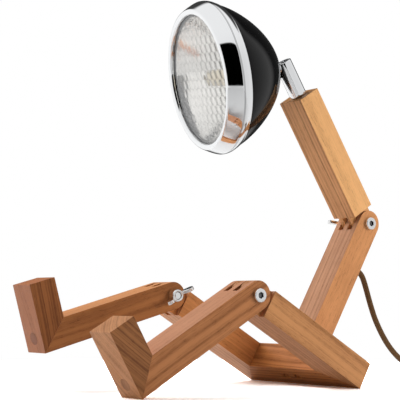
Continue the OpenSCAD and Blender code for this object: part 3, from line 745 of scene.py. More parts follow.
def makeCord():
    before = cordRun["drop"] + cordRun["switch"] + cordRun["middle"]
    line = smoothLine(before + coilPoints(cordRun["coil"]) + cordRun["tail"], cordRun["step"])
    line = (line - np.array((*pose["origin"], 0))) * mm
    print("cord length", round(float(np.linalg.norm(np.diff(line, axis=0), axis=1).sum()), 4))
    cord = tubeAlong("mainsCord", line, cordRun["diameter"] / 2 * mm, cordRun["sides"], "cordMap")
    takeOver(cord, "cord_lead", "textile", "cord_middle", "cord_coil", "cord_tail")
    return cord, line


# Sleeve that leaves the torso, with a flange against the wood and soft ribs
gland = {"drop": 44.5, "face": 14, "inside": 10, "outside": 10, "width": 9, "tip": 7.6, "flange": 12.6,
         "flangeHeight": 1.4, "ribsFrom": 1.8, "pitch": 1.9, "rib": 0.55}


def makeGland():
    half, tip, outside, inside = gland["width"] / 2, gland["tip"] / 2, gland["outside"], gland["inside"]
    flange, high = gland["flange"] / 2 - 0.5, gland["flangeHeight"]
    outline = [(0, -inside), (half - 0.4, -inside), (half, -inside + 0.4), (half, 0)]
    outline += arc(flange, high - 0.5, 0.5, -90, 90, 6)[1:] + [(flange, high), (half, high + 0.1)]
    outline += between((half, 0), (tip, outside), 60)[11:]
    piece = lathe("cordGland", outline + [(tip - 0.3, outside), (0, outside)], 48, closed=False)
    grooved(piece, "brown_plastic", gland["pitch"], gland["rib"], gland["ribsFrom"], outside, helix=0)
    placed(piece, waistFrame @ moved(0, gland["face"], -gland["drop"]) @ turned(-90, "X"))
    takeOver(piece, "cord_gland", "brown_plastic")


# In-line switch: two shells that meet in a seam, a rocker, and a collar for the cord at each end.
# The shells are rows of (inset, height).
switch = {
    "start": 180,
    "size": (24, 62),
    "corner": 5,
    "cordHeight": 9,
    "switch_base": [(1.6, 0), (0.8, 0.25), (0.25, 0.8), (0, 1.6), (0, 8.6), (0.4, 8.95)],
    "switch_cover": [(0.4, 9.05), (0, 9.4), (0, 13.2), (0.25, 14.8), (0.9, 16.3), (2.1, 17.4), (3.6, 17.88),
                     (4.4, 18)],
    "room": {"size": (12.6, 21.6), "corner": 0.8, "floor": 2, "top": 25},
    "rocker": (11, 20, 7),
    "rockerHeight": 16,
    "rockerTilt": 6,
    "dip": 1.1,
    "collar": {"bore": 3.05, "wide": 4.6, "narrow": 3.7, "reach": 5.0, "pitch": 1.3, "rib": 0.35, "clear": 3.3},
}


def makeCollar(way):
    collar = switch["collar"]
    bore, wide, narrow, reach = (collar[k] for k in ("bore", "wide", "narrow", "reach"))
    outline = [(bore, 0), (wide, 0)] + between((wide, 0.4), (narrow, reach - 0.4), 20)
    piece = lathe("collar", outline + [(narrow - 0.3, reach), (bore, reach)], 36)
    grooved(piece, "brown_plastic", collar["pitch"], collar["rib"], 0.6, reach, collar["clear"], 0)
    return placed(piece, moved(0, way * switch["size"][1] / 2, switch["cordHeight"]) @ turned(-90 * way, "X"))


def makeRocker():
    width, length, height = switch["rocker"]
    levels = []
    for k in range(41):
        y = (k / 40 - 0.5) * length
        end = max(0, abs(y) / (length / 2) - 0.93) / 0.07
        inset = 0.6 * end * end
        top = height / 2 - switch["dip"] * (1 - (2 * y / length) ** 2)
        ring = roundedRing(width / 2 - inset, (top + height / 2) / 2 - inset, 0.8, 0, 5)
        levels.append([(x, y, z + (top - height / 2) / 2) for x, z, _ in ring])
    place = moved(0, 0, switch["rockerHeight"]) @ turned(switch["rockerTilt"], "X")
    return placed(loft("switchRocker", levels), place)


def makeSwitch():
    width, length = switch["size"]
    middle = onTable @ moved(0, switch["start"] + length / 2, 0)
    room = switch["room"]
    pieces = []
    for node, low in (("switch_base", room["floor"]), ("switch_cover", 0)):
        piece = loft(camel(node), [
            roundedRing(width / 2 - inset, length / 2 - inset, switch["corner"] - inset * 0.5, height)
            for inset, height in switch[node]
        ])
        wide, long = room["size"]
        hollow = loft("room", [roundedRing(wide / 2, long / 2, room["corner"], z, 3) for z in (low, room["top"])])
        softened(cut(piece, hollow), 0.3, 2, 60)
        if node == "switch_cover":
            for way in (1, -1):
                joined(piece, makeCollar(way))
        pieces.append(takeOver(placed(piece, middle), node, "brown_plastic"))
    return pieces + [takeOver(placed(makeRocker(), middle), "switch_rocker", "dark_plastic")]


# Flat two-pin plug at the cord's end, pins towards -Y; its body is rows of (station, half width, half thickness)
plug = {
    "place": (77, 218, 7),
    "body": [(0, 4.7, 4.6), (2.5, 5.2, 4.9), (7, 9.2, 5.7), (11, 14.6, 6.5), (15, 16.9, 6.95), (22, 17.5, 7),
             (29, 17.3, 7), (33, 16.3, 6.85), (35.2, 15.1, 6.3), (36, 14.2, 5.7)],
    "rings": 145,
    "ribs": {"start": 12.5, "end": 30, "pitch": 2.3, "depth": 0.55},
    "sleeve": {"length": 14, "base": 4.4, "tip": 3.6, "pitch": 2.0, "depth": 0.6},
    "pin": {"width": 4, "length": 19, "spacing": 18.6, "sheath": 9.8},
}


def plugSleeve():
    sleeve = plug["sleeve"]
    base, tip, reach = sleeve["base"], sleeve["tip"], sleeve["length"]
    outline = [(0, 0.5), (base, 0.5)] + between((base, 0), (tip, -reach), 60)
    piece = lathe("sleeve", outline + [(tip - 0.3, -reach), (0, -reach)], 36, closed=False)
    return grooved(piece, "brown_plastic", sleeve["pitch"], sleeve["depth"], -reach, -0.5, helix=0)


def makePlug():
    plugFrame = onTable @ moved(*plug["place"]) @ turned(90, "X")
    stations, wides, thicks = (np.array(column) for column in zip(*plug["body"]))
    levels = []
    for z in np.linspace(0, stations[-1], plug["rings"]):
        wide, thick = (float(np.interp(z, stations, values)) for values in (wides, thicks))
        levels.append(roundedRing(wide, thick, min(wide, thick) * 0.82, float(z), 8))
    body, ribs, pin = loft("plugBody", levels), plug["ribs"], plug["pin"]
    grooved(body, "brown_plastic", ribs["pitch"], ribs["depth"], ribs["start"], ribs["end"], helix=0)
    placed(joined(body, plugSleeve()), plugFrame)
    takeOver(body, "plug_body", "brown_plastic")
    # Each pin has a sheath, a shade thicker than its metal end
    half, length, sheath = pin["width"] / 2, pin["length"], pin["sheath"]
    outline = [(0, -0.5), (half, -0.5), (half, sheath - 0.2), (half - 0.12, sheath), (half - 0.12, sheath + 0.3)]
    outline += [(half - 0.02, sheath + 0.5)] + run(half - 0.02, sheath + 0.6, length - 1.4, 2)
    outline += arc(0.6, length - 1.4, 1.38, 0, 90, 6) + [(0, length)]
    pins = lathe("plugPins", outline, 36, moved(-pin["spacing"] / 2, 0, 0), closed=False)
    setOut(pins, "brass", 2, (pin["spacing"], 0, 0))
    placed(pins, plugFrame @ moved(0, 0, stations[-1]))
    return body, takeOver(pins, "plug_pins", "brass")


cordPiece, cordLine = makeCord()
makeGland()
tie = takeOver(copyOf("cord_tie", 0.35), "cord_tie", "dark_plastic")
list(makeSwitch())
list(makePlug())
print("cord laid")

# Wooden beams: the grain's frame, the tone of the side and of the other faces (painted light and shade), where the
# trunk's heart lies, how strong the lines are on side and other faces, and how much darker the ends are
acrossX = turned(90, "Y")
alongY = turned(90, "X")
beams = {
    "hip_beam": {"grain": seatFrame @ acrossX, "side": (0.44, 0.165, 0.05), "front": (0.39, 0.142, 0.038),
                 "heart": (-46, 30), "lines": (0.9, 0.9)},
    "left_thigh": {"grain": seatFrame @ alongY, "side": (0.47, 0.21, 0.076), "front": (0.4, 0.175, 0.072),
                   "heart": (150, 60), "lines": (0.75, 0.7)},
    "right_thigh": {"grain": seatFrame @ alongY, "side": (0.475, 0.187, 0.058), "front": (0.46, 0.21, 0.09),
                    "heart": (30, 55), "lines": (0.7, 0.7)},
    "lower_torso": {"grain": waistFrame, "side": (0.545, 0.238, 0.089), "front": (0.445, 0.218, 0.112),
                    "heart": (-115, 30), "lines": (0.35, 0.9)},
    "upper_torso": {"grain": upperFrame, "side": (0.71, 0.37, 0.145), "front": (0.56, 0.267, 0.1),
                    "heart": (-130, 22), "lines": (0.25, 0.85), "ends": 0.7},
    "left_shin": {"grain": shinFrame(1) @ alongY, "side": (0.372, 0.145, 0.049), "front": (0.465, 0.215, 0.115),
                  "heart": (70, 50), "lines": (0.9, 0.2)},
    "right_shin": {"grain": shinFrame(-1) @ alongY, "side": (0.32, 0.118, 0.034), "front": (0.5, 0.22, 0.09),
                   "heart": (-60, 40), "lines": (0.55, 0.3)},
    "left_foot": {"grain": shinFrame(1) @ turned(24, "X"), "side": (0.245, 0.094, 0.029), "front": (0.45, 0.2, 0.082),
                  "heart": (125, 60), "lines": (1.2, 0.7)},
    "right_foot": {"grain": shinFrame(-1) @ turned(-4, "X"), "side": (0.252, 0.087, 0.024),
                   "front": (0.33, 0.12, 0.05), "heart": (-90, 60), "lines": (1.3, 0.25)},
    "left_foot_plug": {"grain": shinFrame(1), "side": (0.3, 0.14, 0.06), "front": (0.36, 0.155, 0.064),
                       "heart": (30, 10), "lines": (1, 1)},
    "right_foot_plug": {"grain": shinFrame(-1), "side": (0.2, 0.07, 0.03), "front": (0.22, 0.08, 0.038),
                        "heart": (22, 14), "lines": (1, 0.6)},
}
beamEdges = {"beam": 0.7, "plug": 0.15}


def markFaces(piece, name, way):
    # 1 on the faces that look along a direction, 0 on the rest
    mark = piece.data.attributes.new(name, "FLOAT", "FACE")
    mark.data.foreach_set("value", [float(abs(face.normal.dot(way)) > 0.7) for face in piece.data.polygons])


for index, (node, beam) in enumerate(beams.items(), start=1):
    isPlug = node.endswith("plug")
    finish = woodFinish(
        camel(node) + "Wood", beam["grain"], beam["side"], beam["front"], beam["heart"], index, beam["lines"],
        beam.get("ends", 1.0),
    )
    piece = copyOf(node, beamEdges["plug" if isPlug else "beam"])
    # The side mark also sets the painted light and shade in the wood's tone
    markFaces(piece, "sideFace", Vector((1, 0, 0)))
    markFaces(piece, "endFace", beam["grain"].to_3x3() @ Vector((0, 0, 1)))
    takeOver(piece, node, "dark_wood" if isPlug else "wood", finish=finish)
print("beams dressed")


# Turned and pressed parts of the head, as outlines of (radius, height) along the head's axis
head = {
    "backZ": 12.486,
    "shellRadius": 74.8,
    "shellDepth": 64.3,
    "shellWall": 1.5,
    "seatRadius": 9.5,
    "power": 1.25,
    "root": 1.92,
    "rimZ": 76.786,
    "crest": 78.7,
    "grooveZ": 86.786,
    "beadZ": 99.286,
    "beadMid": 69.3,
    "bead": 3.3,
    "beadMeets": 30,
    "bandCurve": 1.27,
    "viewRadius": 66,
    "lensRadius": 69,
    "lipZ": 98.686,
    "lensBack": 95.186,
    "flangeZ": 92.886,
    "bowl": 63.5,
    "bowlHole": 11.2,
    # Where the painted shade crescent lies in the bowl
    "shade": {"angle": -148, "offset": 41, "radius": 100, "soft": 0.8},
    "focal": 23.3,
    "steps": 192,
}


def shellRise(radius, full, depth):
    return depth * (1 - (1 - (radius / full) ** head["root"]) ** (1 / head["power"]))


def shellLine(full, backZ, depth, start, count):
    first = (shellRise(start, full, depth) / depth) ** 0.5
    shares = [(first + (1 - first) * i / count) ** 2 for i in range(count + 1)]
    return [
        (full * (1 - (1 - s) ** head["power"]) ** (1 / head["root"]), backZ + s * depth) for s in shares
    ]


def makeShell():
    radius, wall, back, depth = (head[k] for k in ("shellRadius", "shellWall", "backZ", "shellDepth"))
    edge = head["rimZ"] + 6
    outside = shellLine(radius, back, depth, 5.0, 56) + [(radius, edge)]
    seat = back + wall + shellRise(head["seatRadius"], radius, depth)
    inside = [(r, max(z, seat)) for r, z in shellLine(radius - wall, back + wall, depth - wall, 5.0, 40)]
    inside.append((radius - wall, edge))
    piece = lathe("headShell", outside + inside[::-1], head["steps"], headFrame)
    takeOver(piece, "head_shell", "black_lacquer")


def makeRim():
    crest, groove, rimZ = head["crest"], head["grooveZ"], head["rimZ"]
    shell, lens, flange = head["shellRadius"], head["lensRadius"], head["flangeZ"]
    rear = shell + 1.2
    outline = arc(rear - 0.5, rimZ + 0.5, 0.5, -90, 0, 4)
    for angle in range(10, 91, 5):
        reach = rear + (crest - rear) * math.sin(math.radians(angle))
        outline.append((reach, rimZ + 0.6 + (groove - rimZ - 1.7) * angle / 90))
    outline += arc(crest + 0.05, groove - 0.5, 0.8, 100, 260, 12)
    bead, mid, meet = head["bead"], head["beadMid"], head["beadMeets"]
    endRadius, endZ = arc(mid, head["beadZ"], bead, meet, meet, 1)[0]
    start = groove + 0.1
    outline += [
        (crest + (endRadius - crest) * k ** head["bandCurve"], start + (endZ - start) * k)
        for k in (i / 28 for i in range(1, 28))
    ]
    outline += arc(mid, head["beadZ"], bead, meet, 180, 28)
    outline += [
        (head["viewRadius"], head["lipZ"]), (lens, head["lipZ"]), (lens, flange), (lens + 4, flange),
        (lens + 4, flange - 2), (crest - 2, groove), (crest - 2, rimZ + 7), (shell, rimZ + 6), (shell, rimZ),
    ]
    piece = lathe("headlampRim", outline, head["steps"])
    # Painted shade: a grey line in the groove behind the crest
    paintShade(piece, lambda r, a, z: 0.4 * (abs(z - groove + 0.5) < 0.7 and crest - 1.1 < r < crest - 0.05))
    takeOver(placed(piece, headFrame), "rim", "chrome")


def paintedBowlShade(radius, angle, height):
    # Painted shade: a dim crescent inside the bowl's edge that stands for a dark reflection, and a dark lip where the
    # bowl bears on the glass
    if radius >= head["bowl"]:
        return 1
    shade = head["shade"]
    turn = math.radians(angle - shade["angle"])
    past = math.hypot(radius * math.cos(turn) + shade["offset"], radius * math.sin(turn)) - shade["radius"]
    mottle = 0.07 * math.sin(1.9 * angle) * math.sin(1.3 * radius) + 0.06 * math.sin(0.83 * angle + radius)
    return min(1, max(0, 0.5 + past / shade["soft"])) * min(1, 0.95 + mottle)


def makeReflector():
    bowl, flange, hole = head["bowl"], head["flangeZ"], head["bowlHole"]
    radii = [hole + (bowl - hole) * i / 44 for i in range(45)]
    inside = [(r, flange - (bowl**2 - r**2) / (4 * head["focal"])) for r in radii]
    outside = [(r + 0.8, z) for r, z in inside]
    lip = [(bowl, flange + 0.8), (head["lensRadius"], flange + 0.8), (head["lensRadius"], flange)]
    piece = paintShade(lathe("reflectorBowl", inside + lip + outside[::-1], head["steps"]), paintedBowlShade)
    takeOver(placed(piece, headFrame), "reflector", "reflector")


# Front glass: smooth outside, rows of staggered pillows pressed into its back
glass = {"cellWidth": 11.0, "cellHeight": 8.8, "lean": 0.3, "depth": 0.26, "plainEdge": 4.5, "fade": 0.8,
         "rings": 110, "steps": 360, "dome": 2.5}


def pillowTree():
    tree, given = newTree("pressPillows", ("Cell width", "Cell height", "Lean", "Depth", "Reach", "Fade"))
    here = addNode(tree, "GeometryNodeInputPosition").outputs[0]
    x, y, _ = addNode(tree, "ShaderNodeSeparateXYZ", Vector=here).outputs
    row = calc(tree, "DIVIDE", y, given["Cell height"])
    shift = times(tree, calc(tree, "FLOORED_MODULO", calc(tree, "FLOOR", row), 2.0), 0.5)
    shift = plus(tree, shift, times(tree, row, given["Lean"]))
    column = plus(tree, calc(tree, "DIVIDE", x, given["Cell width"]), shift)
    swell = []
    for place in (row, column):
        wave = calc(tree, "COSINE", times(tree, minus(tree, place, 0.5), 2 * math.pi))
        swell.append(plus(tree, times(tree, wave, 0.5), 0.5))
    hollow = minus(tree, 1.0, plus(tree, times(tree, swell[0], 0.45), times(tree, swell[1], 0.55)))
    reach = vectorCalc(tree, "LENGTH", addNode(tree, "ShaderNodeCombineXYZ", X=x, Y=y).outputs[0])
    inside = addNode(tree, "ShaderNodeMapRange", {"interpolation_type": "SMOOTHSTEP"})
    edge = minus(tree, given["Reach"], given["Fade"])
    for socket, value in zip(inside.inputs, (reach, given["Reach"], edge, 0.0, 1.0)):
        setInput(tree, socket, value)
    back = addNode(tree, "GeometryNodeInputNamedAttribute", {"data_type": "FLOAT"}, Name="backFace")
    isBack = calc(tree, "GREATER_THAN", back.outputs[0], 0.5)
    press = times(tree, hollow, given["Depth"], inside.outputs[0])
    pressed = addNode(
        tree, "GeometryNodeSetPosition", Geometry=given["Geometry"], Selection=isBack,
        Offset=addNode(tree, "ShaderNodeCombineXYZ", Z=press).outputs[0],
    )
    # Painted shade: the deepest parts of the pillows are marked for a darker glass tint
    mark = addNode(
        tree, "GeometryNodeStoreNamedAttribute", {"data_type": "FLOAT"}, Geometry=pressed.outputs[0], Name="hollow",
        Value=times(tree, calc(tree, "POWER", hollow, 3.0), inside.outputs[0], isBack),
    )
    return endTree(tree, mark.outputs[0], given["Finish"])


def makeLens():
    reach, back, front = head["viewRadius"], head["lensBack"], head["lipZ"] - 0.02
    edge = head["lensRadius"] - 0.1
    outline = between((0, back), (reach, back), glass["rings"]) + [(edge, back), (edge, front)]
    outline += [(reach * i / 24, front + glass["dome"] * (1 - (i / 24) ** 2)) for i in range(24, -1, -1)]
    piece = lathe("frontGlass", outline, glass["steps"], closed=False)
    mark = piece.data.attributes.new("backFace", "FLOAT", "POINT")
    mark.data.foreach_set("value", [float(v.co.z < (back + 0.01) * mm) for v in piece.data.vertices])
    # The rows of pillows lie level when the head's sideways axis is level
    useTree(piece, pillowTree(), {
        "Cell width": glass["cellWidth"] * mm, "Cell height": glass["cellHeight"] * mm, "Lean": glass["lean"],
        "Depth": glass["depth"] * mm, "Reach": (reach - glass["plainEdge"]) * mm, "Fade": glass["fade"] * mm,
        "Finish": shared["lens_glass"],
    })
    takeOver(placed(piece, headFrame), "lens", "lens_glass")


makeShell()
makeRim()
makeReflector()
makeLens()
print("head dressed")

# Hinge bolts run along X from their threaded tip to a head with a hex socket
bolt = {"width": 8, "tip": -24.8, "under": 17, "top": 20.8, "head": 13.3, "round": 1.0, "socket": 5, "sunk": 3,
        "pitch": 1.25, "thread": 0.6, "threadEnd": -4, "grime": 0.85}


def makeBolt(node, place, way):
    half, cap, flat = bolt["width"] / 2, bolt["head"] / 2, bolt["socket"] / 2
    tip, under, top, threadEnd, rounding = (bolt[k] for k in ("tip", "under", "top", "threadEnd", "round"))
    floor = top - bolt["sunk"]
    outline = [(0, tip), (half - 0.8, tip)] + run(half, tip + 0.7, threadEnd, 0.25)
    outline += run(half, threadEnd + 1, under, 7) + [(cap - 0.3, under)]
    outline += run(cap, under + 0.3, top - rounding, 1.2) + arc(cap - rounding, top - rounding, rounding, 15, 90, 5)
    outline += [(3.7, top), (3.15, top - 0.1), (flat + 0.08, top - 0.45, 6), (flat, top - 0.6, 6)]
    outline += [(flat, floor + 0.3, 6), (flat - 0.3, floor, 6), (0, floor - 0.5)]
    piece = lathe(camel(node), outline, 48, closed=False)
    grooved(piece, "zinc", bolt["pitch"], bolt["thread"], tip, threadEnd)
    # Painted shade inside the hex socket
    paintShade(piece, lambda r, a, z: bolt["grime"] * (r < flat + 0.4 and z > under))
    takeOver(placed(piece, place @ turned(90 * way, "Y")), node, "zinc")


# Cast wing nuts: the corners between collar and wings filled and rounded
wingNut = {"grain": 0.3, "rounds": 16}


def makeWingNut(node):
    piece = copyOf(node)
    cast = piece.modifiers.new("cast", "REMESH")
    cast.mode, cast.voxel_size = "VOXEL", wingNut["grain"] * mm
    rounded = piece.modifiers.new("rounded", "SMOOTH")
    rounded.factor, rounded.iterations = 0.5, wingNut["rounds"]
    settled(piece)
    piece.data.shade_smooth()
    takeOver(piece, node, "zinc")


# Countersunk wood screws, head first along +Z: a pair in the seat, and one through each foot
woodScrew = {"head": 9.5, "depth": 4, "width": 5, "length": 60, "threadStart": 18, "pitch": 2.2, "thread": 0.7,
             "recess": 2.6, "pair": (-9, -17, 6), "spacing": 18, "foot": (0, -151, 0)}


def screwBlank(name):
    cap, half, length = woodScrew["head"] / 2, woodScrew["width"] / 2, woodScrew["length"]
    depth, start, recess, point = woodScrew["depth"], woodScrew["threadStart"], woodScrew["recess"], length - 6
    outline = [(0, recess), (0.7, recess - 0.1, "cross"), (2.1, 0.15, "cross"), (2.5, 0), (cap - 0.4, 0)]
    outline += [(cap, 0.35), (cap, 0.8), (half, depth)] + run(half, depth + 1, start, 5)
    outline += run(half, start + 0.4, point, 0.4) + between((half, point), (0, length), 12)[1:]
    piece = lathe(name, outline, 36, closed=False)
    return grooved(piece, "zinc", woodScrew["pitch"], woodScrew["thread"], start, length - 1)


def makeScrews():
    pair = setOut(screwBlank("torsoScrews"), "zinc", 2, (woodScrew["spacing"], 0, 0))
    takeOver(placed(pair, seatFrame @ moved(*woodScrew["pair"])), "torso_screws", "zinc")
    for side, node in ((1, "left_foot_screw"), (-1, "right_foot_screw")):
        place = shinFrame(side) @ moved(*woodScrew["foot"]) @ turned(-90, "X")
        takeOver(placed(screwBlank(camel(node)), place), node, "zinc")


def nutOutline(flats, hole, low, high):
    half, bore = flats / 2, hole / 2
    return [
        (bore, low + 0.3), (bore + 0.3, low), (half * 0.94, low), (half, low + 0.3, 6), (half, high - 0.3, 6),
        (half * 0.94, high), (bore + 0.3, high), (bore, high - 0.3),
    ]


# Neck: a slotted tube that turns on a threaded one, and the pin that the head tilts on
neck = {
    "width": 18, "bore": 15, "low": 0.3, "length": 40, "round": 0.8, "slot": 6.6, "slotFrom": 25.7,
    "cap": 1.4, "capBack": 4.5, "pin": 5, "nippleWidth": 10, "nippleBore": 6, "nippleIn": 18, "nippleOut": 13.6,
    "nipplePitch": 1.0, "nippleThread": 0.45, "bushHeight": 8, "nutFlats": 12.1, "nutHeight": 3, "nutClear": 0.6,
}


def slotTool(back):
    half = neck["slot"] / 2
    corners = [(-half, -20), (half, -20), (half, back), (-half, back)]
    return loft("slot", [[(x, y, z) for x, y in corners] for z in (neck["slotFrom"], 60)])


def makeNeck():
    outer, bore, low, top, rounding = neck["width"] / 2, neck["bore"] / 2, neck["low"], neck["length"], neck["round"]
    outline = [(bore, low), (outer - 0.3, low)] + run(outer, low + 0.3, top - rounding, 6)
    outline += arc(outer - rounding, top - rounding, rounding, 15, 90, 5) + [(bore + 0.2, top), (bore, top - 0.2)]
    tube = cut(lathe("neckTube", outline, 120), slotTool(0))
    takeOver(placed(softened(tube, 0.22, 2, 60), neckFrame), "neck_tube", "chrome")
    under = top - neck["cap"]
    outline = [(0, under), (bore, under), (bore, top - 0.25), (bore - 0.3, top), (0, top)]
    cap = cut(lathe("neckCap", outline, 120, closed=False), slotTool(neck["capBack"]))
    takeOver(placed(softened(cap, 0.2, 2, 60), neckFrame), "neck_cap", "chrome")
    pin, reach = neck["pin"] / 2, outer - 0.5
    outline = [(0, -reach), (pin - 0.5, -reach)] + run(pin, -reach + 0.5, reach - 0.5, 5)
    pinFrame = neckFrame @ moved(0, 0, pose["tiltHeight"]) @ turned(90, "Y")
    takeOver(lathe("tiltPin", outline + [(pin - 0.5, reach), (0, reach)], 48, pinFrame, False), "tilt_pin", "chrome")


def makeNeckBrass():
    # The threaded tube in the torso's end, its nut, and the bush that turns on it
    torsoEnd = upperFrame @ moved(0, 0, pose["upperTorso"])
    half, hole, bore = neck["nippleWidth"] / 2, neck["nippleBore"] / 2, neck["bore"] / 2
    low, high = -neck["nippleIn"], neck["nippleOut"]
    outline = [(hole, low), (half - 0.4, low)] + run(half, low + 0.4, high - 0.4, 0.25)
    nipple = lathe("neckNipple", outline + [(half - 0.4, high), (hole, high)], 48)
    grooved(nipple, "brass", neck["nipplePitch"], neck["nippleThread"], low, high, 4)
    takeOver(placed(nipple, torsoEnd), "neck_nipple", "brass")
    low = neck["bushHeight"] + neck["nutClear"]
    outline = nutOutline(neck["nutFlats"], neck["nippleWidth"], low, low + neck["nutHeight"])
    takeOver(lathe("neckLocknut", outline, 48, torsoEnd), "neck_locknut", "brass")
    low, high = neck["low"], neck["low"] + neck["bushHeight"]
    outline = [(half + 0.1, low + 0.2), (half + 0.3, low), (bore - 0.3, low), (bore, low + 0.3), (bore, high - 0.5)]
    outline += [(bore - 0.5, high), (half + 0.4, high), (half + 0.1, high - 0.3)]
    takeOver(lathe("neckBush", outline, 72, neckFrame), "neck_bush", "brass")


# Inside the head: outlines and heights along its axis
inner = {
    "washer": [(5, 11.39), (6.2, 11.39), (6.6, 11.6), (7.3, 12.2), (7.3, 12.45), (5, 12.486)],
    "nutFlats": 14.7,
    "nutHole": 10,
    "nutHeight": 5,
    "holder": [(0, 34.49), (5, 34.49), (5, 28.5), (9.2, 28.5), (10, 29.3), (10, 36), (9.3, 36.6), (9.3, 37.6),
               (10, 38.2), (10, 41), (9.3, 41.6), (9.3, 42.6), (10, 43.2), (10, 52.6), (9.7, 53.5), (8.9, 53.96),
               (0, 53.96)],
    "base": {"low": 53.97, "high": 59.97, "width": 12, "pitch": 2.4, "thread": 0.7},
    "bulb": {"width": 14, "length": 30},
    "gasket": [(64.2, 93.7), (69, 93.7), (69, 95.17), (65.2, 95.17), *arc(64.9, 94.45, 0.7, 100, 260, 6)],
}


def makeBulb():
    low, high, half = inner["base"]["low"], inner["base"]["high"], inner["base"]["width"] / 2
    outline = [(0, low), (half, low)] + run(half, low + 0.2, high - 0.6, 0.25) + [(half - 0.5, high), (0, high)]
    base = lathe("bulbBase", outline, 48, closed=False)
    grooved(base, "brass", inner["base"]["pitch"], inner["base"]["thread"], low - 1, high)
    takeOver(placed(base, headFrame), "bulb_base", "brass")
    half = inner["bulb"]["width"] / 2
    top = high + inner["bulb"]["length"]
    outline = [(0, high), (half - 1.6, high)] + arc(half - 1.8, high + 2.2, 1.8, -60, 0, 6)
    outline += run(half, high + 3, top - half, 4) + arc(0, top - half, half, 6, 84, 12) + [(0, top)]
    takeOver(lathe("bulbGlass", outline, 72, headFrame, False), "bulb", "bulb_glass")


def makeHeadFittings():
    seat = head["backZ"] + head["shellWall"] + shellRise(head["seatRadius"], head["shellRadius"], head["shellDepth"])
    nut = nutOutline(inner["nutFlats"], inner["nutHole"], seat, seat + inner["nutHeight"])
    for node, outline, steps, closed, slot in (
        ("head_washer", inner["washer"], 72, True, "chrome"), ("head_nut", nut, 48, True, "brass"),
        ("lampholder", inner["holder"], 72, False, "ceramic"),
    ):
        takeOver(lathe(camel(node), outline, steps, headFrame, closed), node, slot)
    makeBulb()
    takeOver(lathe("lensGasket", inner["gasket"], 192, headFrame), "lens_gasket", "gasket")
    for node, slot in (("swivel_eye", "chrome"), ("reflector_clips", "spring_steel")):
        takeOver(copyOf(node, 0.3, 2, 50), node, slot)


for node, place, way in (
    ("waist_bolt", waistFrame, 1), ("left_knee_bolt", shinFrame(1), 1), ("right_knee_bolt", shinFrame(-1), -1),
):
    makeBolt(node, place, way)
for node in ("waist_wing_nut", "left_knee_wing_nut", "right_knee_wing_nut"):
    makeWingNut(node)
makeScrews()
makeNeck()
makeNeckBrass()
makeHeadFittings()
for node in ("lower_lead", "upper_lead", "head_lead"):
    coat(node, shared["dark_plastic"])
dowelTone = (0.66, 0.36, 0.17)
coat("mitre_dowels", woodFinish("dowelWood", seatFrame @ acrossX, dowelTone, dowelTone, (20, 20), 12))
print("fittings dressed")

# Studio: a round pale table in a light tent, with a dark opening beside the camera, a dark wall behind the lamp
# and a dim strip low in front
studio = {
    "tableRadius": 620,
    "tableColor": (0.9, 0.9, 0.9),
    "tableInView": 1.9,
    "tableMirrored": 0.6,
    "sky": 0.27,
    "tent": {"side": -70, "dim": 0.76, "bright": 1.06, "top": 0.94, "topFrom": 25, "topTo": 60},
    "dark": [
        {"azimuth": 51.5, "elevation": 4.5, "width": 49, "height": 60, "share": 1.0, "soft": 0.02},
        {"azimuth": -140, "elevation": 20, "width": 70, "height": 70, "share": 0.95, "soft": 0.12},
        {"azimuth": 62, "elevation": -40, "width": 34, "height": 24, "share": 0.6, "soft": 0.05},
    ],
    "lamps": {
        "rearRight": {"azimuth": 130, "elevation": 12, "power": 13.5},
        "frontLeft": {"azimuth": -70, "elevation": 40, "power": 24.0},
        "rearLeft": {"azimuth": -150, "elevation": 40, "power": 12.8},
        "front": {"azimuth": -30, "elevation": 12, "power": 3.6},
    },
    "lampSize": 900,
    "lampReach": 1500,
    "aim": (0, 20, 130),
}


def darkShare(tree, direction, panel):
    ahead = facing(panel["azimuth"], panel["elevation"])
    side = ahead.cross(Vector((0, 0, 1))).normalized()
    depth = dot(tree, direction, ahead)
    shares = [calc(tree, "GREATER_THAN", depth, 0.05)]
    for way, size in ((side, panel["width"]), (side.cross(ahead), panel["height"])):
        slope = calc(tree, "ABSOLUTE", calc(tree, "DIVIDE", dot(tree, direction, way), depth))
        edge = math.tan(math.radians(size / 2))
        shares.append(spread(tree, slope, edge + panel["soft"], edge - panel["soft"]))
    return minus(tree, 1.0, times(tree, *shares, panel["share"]))


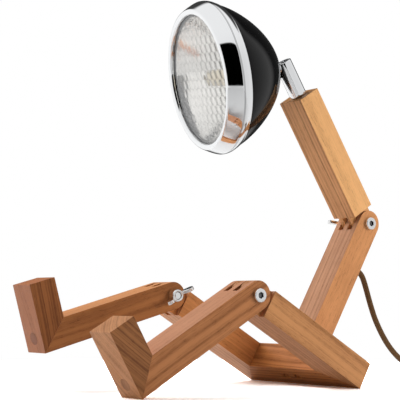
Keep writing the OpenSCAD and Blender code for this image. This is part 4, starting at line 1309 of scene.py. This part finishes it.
def makeTable():
    mesh = bmesh.new()
    bmesh.ops.create_circle(mesh, cap_ends=True, segments=128, radius=studio["tableRadius"] * mm)
    table = finished("table", mesh)
    material, tree, shader = newFinish("paleTable", Roughness=0.9)
    path = addNode(tree, "ShaderNodeLightPath").outputs
    inView, mirrored = ((studio[k],) * 3 for k in ("tableInView", "tableMirrored"))
    color = blendColor(tree, path["Is Glossy Ray"], studio["tableColor"], mirrored)
    feed(tree, shader, Base_Color=blendColor(tree, path["Is Camera Ray"], color, inView))
    table.data.materials.append(material)


def makeTent():
    world = bpy.data.worlds.new("lightTent")
    scene.world = world
    world.use_nodes = True
    tree = world.node_tree
    direction = addNode(tree, "ShaderNodeTexCoord").outputs["Generated"]
    tent = studio["tent"]
    level = spread(tree, dot(tree, direction, facing(tent["side"], 0)), -1, 1, tent["dim"], tent["bright"])
    low, high = (math.sin(math.radians(tent[k])) for k in ("topFrom", "topTo"))
    top = spread(tree, dot(tree, direction, (0, 0, 1)), low, high)
    level = plus(tree, times(tree, level, minus(tree, 1.0, top)), times(tree, top, tent["top"]))
    for panel in studio["dark"]:
        level = times(tree, level, darkShare(tree, direction, panel))
    # The camera sees plain white, mirrors and glass see the tent, and the rest gets an even light
    path = addNode(tree, "ShaderNodeLightPath").outputs
    mirrored = calc(tree, "MAXIMUM", path["Is Glossy Ray"], path["Is Transmission Ray"])
    strength = plus(tree, times(tree, minus(tree, 1.0, mirrored), studio["sky"]), times(tree, mirrored, level))
    strength = calc(tree, "MAXIMUM", strength, path["Is Camera Ray"])
    feed(tree, tree.nodes["Background"], Color=(1, 1, 1, 1), Strength=strength)


def makeLamps():
    aim = Vector(studio["aim"]) * mm
    for name, lamp in studio["lamps"].items():
        light = bpy.data.lights.new(name, "AREA")
        light.size = studio["lampSize"] * mm
        light.energy = lamp["power"]
        box = bpy.data.objects.new(name, light)
        scene.collection.objects.link(box)
        box.visible_glossy = box.visible_transmission = False
        box.location = aim + facing(lamp["azimuth"], lamp["elevation"]) * studio["lampReach"] * mm
        box.rotation_euler = (aim - box.location).to_track_quat("-Z", "Y").to_euler()


makeTable()
makeTent()
makeLamps()
scene.view_settings.view_transform = "Standard"
print("studio lit")
